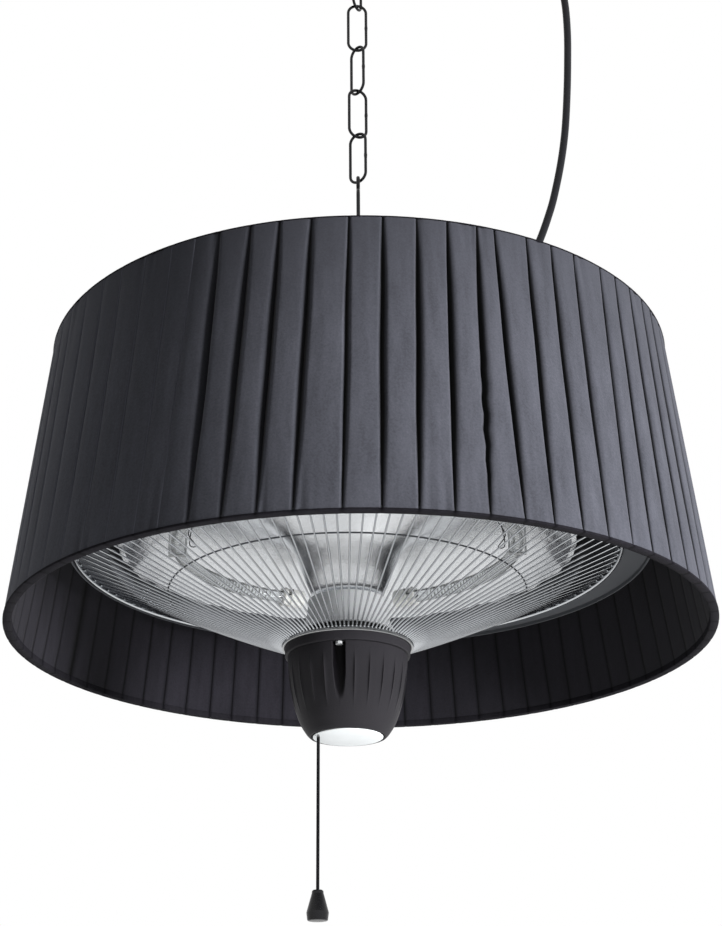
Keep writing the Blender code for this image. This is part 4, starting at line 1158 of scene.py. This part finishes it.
def grille():
    wires = []
    for i in range(WIRES):
        a = math.tau * (i + FIRST_WIRE) / WIRES
        line = []
        for k in range(15):
            r = WIRE_IN + (WIRE_OUT - WIRE_IN) * (k / 14) ** 1.15
            lift = -1.1 * math.exp(-(r - WIRE_IN) / 3)
            height = up(wire_height(r) + lift)
            line.append((HEAD_X + r * MM * math.cos(a), r * MM * math.sin(a), height))
        wires += [sweep(line, 0.78 * MM, 10), bead(line[0], -0.2 * MM, 1.0 * MM),
                  bead(line[-1], 0.9 * MM, 1.25 * MM)]
    piece("grille_wires", merge(*wires), SATIN_WIRE, "silver_wire", "grille", corner_deg=60)
    foot = [(53.9, -9.0), (55.8, -9.0), (55.8, -6.9), (53.9, -6.5)]
    lathe("grille_foot_ring", rounded(foot, 0.5), ZINC, "silver_wire", "grille")
    seat = [(46.4, -7.3), (53.6, -7.3), (53.6, -6.2), (49.4, -3.4), (46.4, -3.4)]
    lathe("grille_seat_ring", seat, BLACK_PAINT, "silver_wire", "grille")
    round_ring("grille_mid_ring", "grille", MID_RING, 0.7, wire_height(MID_RING) + 1.3, DULL_AND_SHADED_WIRE,
               "silver_wire", HEAD_X)
    round_ring("rim_wire", "grille_rim", 236.6, 1.75, 73.0, SATIN_WIRE, "silver_wire", HEAD_X, 200)


grille()
print("grille:", WIRES, "wires")

# %% [markdown]
# The reflector is a spun dish whose middle is drawn down into a trumpet, with a flared sleeve
# below it. Its outer lip is crimped into short flats.

# %% Reflector
def reflector():
    line = [(194, 80.7), (178, 97.2), (145.6, 115.4), (106, 122), (72.3, 106), (49, 82.2),
            (35.8, 51), (31, 38), (34, 33.5)]
    body = [tuple(p) for p in smooth_route(line, 60)]

    def crimp(r, z, a):
        edge = max(0.0, (r / MM - 170) / 28)
        flat = abs(math.sin(a * 14))
        return r, z - 1.6 * MM * edge**2 * flat

    lathe("spun_reflector", shell([(198, 80.7), *body], 0.9), BRIGHT_ALUMINIUM, "polished",
          "reflector", sides=224, shape=crimp)
    sleeve = [(41.0, 4.5), (37.0, 12.0), (34.6, 22.0), (34.0, 33.2), (9.0, 33.2)]
    lathe("flared_sleeve", shell(sleeve, -1.2), SLEEVE_ALUMINIUM, "polished", "reflector_sleeve")


reflector()
soften(BLACK_PLASTIC, 0.5, "neck_spacer")
soften(ZINC, 0.3, *(f"reflector_post_{i}" for i in (1, 2, 3)))
soften(ZINC, 0.4, "centre_tube")
soften(ZINC, 0.6, "hub_nut")
print("reflector: 396 mm across")

# %% [markdown]
# Two curved quartz tubes lie in the dish, each with a wound coil. Their ends sit in ceramic caps
# with a turned groove, and loose leads run from the caps.

# %% Heating tubes
TUBE_R, TUBE_HALF_DEG = 6.0 * MM, 62.0
COIL_R, COIL_TURNS, COIL_STEPS = 3.4 * MM, 78, 10
# A cap's outline: places along the tube and radii there, in millimetres.
CAP = ((0, 7.6), (0.8, 8.5), (4.6, 8.5), (5.2, 7.3), (7.2, 7.3), (7.8, 8.5), (21.2, 8.5), (22, 7.6))


def on_circle(degrees, radius, z):
    """A point on a circle round the head's middle line."""
    a = math.radians(degrees)
    return Vector((HEAD_X + radius * math.cos(a), radius * math.sin(a), z))


def heating_tubes():
    low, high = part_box("quartz_tube_right")
    z, radius = (low.z + high.z) / 2, high.x - HEAD_X - TUBE_R
    for side, middle in (("right", 0), ("left", 180)):
        start = middle - TUBE_HALF_DEG
        line = [on_circle(start + 2 * TUBE_HALF_DEG * i / 60, radius, z) for i in range(61)]
        first, last = line[0] - line[1], line[-1] - line[-2]
        line = [line[0] + first.normalized() * 6 * MM, *line, line[-1] + last.normalized() * 6 * MM]
        piece(f"quartz_{side}", sweep(line, TUBE_R, 24), CLEAR_QUARTZ, "quartz",
              f"quartz_tube_{side}")
        coil = []
        for k in range(COIL_TURNS * COIL_STEPS + 1):
            b = math.tau * k / COIL_STEPS
            degrees = middle - 60 + 120 * k / (COIL_TURNS * COIL_STEPS)
            coil.append(on_circle(degrees, radius + COIL_R * math.cos(b), z + COIL_R * math.sin(b)))
        piece(f"coil_{side}", sweep(coil, 0.36 * MM, 5), HEATING_WIRE, "quartz")
        soften(ZINC, 0.3, f"element_clip_{side}")


def end_caps():
    for side in ("left", "right"):
        for place in ("front", "back"):
            node = f"end_cap_{side}_{place}"
            low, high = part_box(node)
            turn = 1 if (place == "back") == (side == "right") else -1
            a = math.radians((0 if side == "right" else 180) + 62 * turn)
            along = Vector((-math.sin(a), math.cos(a), 0.0)) * turn
            line = [(low + high) / 2 + along * (p - 11) * MM for p, _ in CAP]
            mesh = sweep(line, [r * MM for _, r in CAP], 28)
            piece(f"ceramic_cap_{side}_{place}", mesh, CERAMIC, "ceramic", node)


def lead_wires():
    """The loose wires at the tubes' ends. A route is in millimetres from the head's middle line."""
    back = [(-66, 131, 84), (-57, 137, 80), (-52, 130, 90), (-56, 143, 78), (-60, 138, 94),
            (-54, 128, 84), (-64, 129, 88)]
    side = [(-75, -128, 90), (-100, -98, 96), (-122, -60, 97), (-130, -40, 93), (-137, -18, 90),
            (-132, 0, 86), (-139, 12, 92), (-137, 18, 116)]
    routes = [back, [(-x, y, z) for x, y, z in back], side, [(-x, y + 8, z) for x, y, z in side]]
    for n, route in enumerate(routes):
        line = smooth_route([(HEAD_X + x * MM, y * MM, up(z)) for x, y, z in route], 60)
        piece(f"lead_wire_{n + 1}", sweep(line, 0.5 * MM, 8), BLACK_RUBBER, "rubber")


heating_tubes()
end_caps()
lead_wires()
print("tubes: 2, caps: 4, loose leads: 4")

# %% [markdown]
# The hub is a moulded pot under a plain collar. Fine lines run down between shallow flutes, and
# three wells, which are round bores that cut the pot's side, reach up to the screws. The lines and
# the wells are darkened as painted shadow.

# %% Hub
COLLAR_UP, POT_UP, FLOOR_UP = -7.56, -16.56, -84.76
POT_SKIN = 1.8
WELLS_DEG = (-98, 22, 142)
FLUTES, FLUTE_DEEP = 24, 1.1
WELL_R, WELL_OUT = 5.5 * MM, 49.6 * MM


def hub_collar():
    low, inner = COLLAR_UP - 8.7, COLLAR_UP - 3
    line = [(8.9, COLLAR_UP), (53.7, COLLAR_UP), (53.0, low), (40.0, low), (40.0, inner),
            (8.9, inner)]
    lathe("hub_ring", rounded(line, 0.9), HUB_PLASTIC, "hub_plastic", "hub_collar", sides=160)


def pot_angles():
    """Angles round the pot, close together at the lines between the flutes and in the wells."""
    angles = []
    for i in range(FLUTES):
        ridge = math.radians(WELLS_DEG[0]) + math.tau * i / FLUTES
        for t in (0, 0.03, 0.07, 0.13, 0.22, 0.35, 0.5, 0.65, 0.78, 0.87, 0.93, 0.97):
            angles.append(ridge + math.tau * t / FLUTES)
    for w in WELLS_DEG:
        angles += [math.radians(w) + k * math.radians(0.66) for k in range(-12, 13)]
    return sorted({round(a % math.tau, 5) for a in angles})


def hub_pot():
    shares = ((0.0, 0.0), (0.05, 0.28), (0.22, 0.56), (0.51, 0.81), (0.79, 0.95), (0.95, 1.0))
    run = [(50.8 + (31.0 - 50.8) * a, POT_UP + (FLOOR_UP - POT_UP) * b) for a, b in shares]
    outer = [tuple(p) for p in smooth_route(run, 41)]
    inner = [(r - POT_SKIN, max(z, FLOOR_UP + 2.6)) for r, z in outer]
    face = set(in_metres(outer))
    line = [*outer, (30.6, FLOOR_UP), (29.9, FLOOR_UP + 1.4), (0.0, FLOOR_UP + 1.4),
            (0.0, FLOOR_UP + 2.6), *inner[::-1]]
    dark = []

    def sculpt(r, z, a):
        height = (z - up(FLOOR_UP)) / (abs(POT_UP - FLOOR_UP) * MM)
        t = (a - math.radians(WELLS_DEG[0])) / math.tau * FLUTES % 1.0
        fade = min(1.0, max(0.0, (0.9 - height) / 0.22))
        fade *= min(1.0, max(0.0, (height - 0.22) / 0.3))
        out = r - FLUTE_DEEP * MM * (1 - abs(2 * t - 1) ** 6) * fade
        # painted shadow: a thin dark line beside each ridge, and near black down in the wells
        deep = math.exp(-((t - 0.97) / 0.036) ** 2) * fade
        skin = 0.0 if (r, z) in face else POT_SKIN * MM
        for w in WELLS_DEG:
            d = (a - math.radians(w) + math.pi) % math.tau - math.pi
            side = WELL_OUT * math.sin(d)
            if abs(d) < 0.4 and abs(side) < WELL_R:
                well = WELL_OUT * math.cos(d) - math.sqrt(WELL_R**2 - side**2) * 1.12
                deep = max(deep, min(1.0, (out - well + skin) / (1.6 * MM)) * 0.93)
                out = min(out, well - skin)
        dark.append(deep)
        return out, z

    mesh = turned(in_metres(line), pot_angles(), HEAD, sculpt)
    made = piece("hub_shell", mesh, HUB_PLASTIC, "hub_plastic", "hub_pot", corner_deg=30)
    shaped = iter(dark)
    store(made, "fold", [next(shaped) if math.hypot(x - HEAD_X, y) > TINY else 0.0
                         for x, y, z in mesh[0]])


def hub_disc():
    """The bare white disc in the pot's floor, half a millimetre further in than the solid."""
    low, high = (corner.z + 0.5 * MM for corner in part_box("hub_disc"))
    line = [(0.0, low), (29.3 * MM, low), (29.3 * MM, high), (0.0, high)]
    outline = rounded(line, 0.3 * MM, closed=False)
    mesh = turned(outline, ring_angles(96), HEAD, closed=False)
    piece("bare_disc", mesh, WHITE_PLASTIC, "white_plastic", "hub_disc")


hub_collar()
hub_pot()
hub_disc()
soften(SLEEVE_ALUMINIUM, 0.3, *(f"hub_screw_{i}" for i in (1, 2, 3)))
soften(BLACK_PLASTIC, 0.2, "cord_bush")
soften(BLACK_PLASTIC, 0.5, "switch_body")
soften(WHITE_PLASTIC, 0.3, "switch_lever")
soften(ZINC, 0.2, "lever_pin")
soften(DULL_AND_SHADED_WIRE, 0.2, "pull_rod")
print("hub: 107 mm across")

# %% [markdown]
# The box where the cable is joined sits on the canopy, with its gland and a ribbed sleeve.

# %% Junction box
def strain_relief():
    low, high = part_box("strain_relief")
    middle = (low + high) / 2
    line, radii = [], []
    for i in range(57):
        t = i / 56
        line.append((middle.x, middle.y, low.z + (high.z - low.z) * t))
        taper = (6.6 + (4.4 - 6.6) * t) * MM
        rib = 0.45 * MM if (t * 8) % 1.0 > 0.5 and 0.06 < t < 0.97 else 0.0
        radii.append(taper - rib)
    piece("ribbed_sleeve", sweep(line, radii, 32), BLACK_RUBBER, "rubber", "strain_relief")


strain_relief()
soften(BLACK_PLASTIC, 1.0, "junction_box", segments=3)
soften(BLACK_PLASTIC, 0.5, "junction_lid")
soften(BLACK_PLASTIC, 0.6, "cable_gland")
soften(BLACK_PLASTIC, 0.8, "gland_cap", segments=3)
print("junction box: 50 x 48 mm")
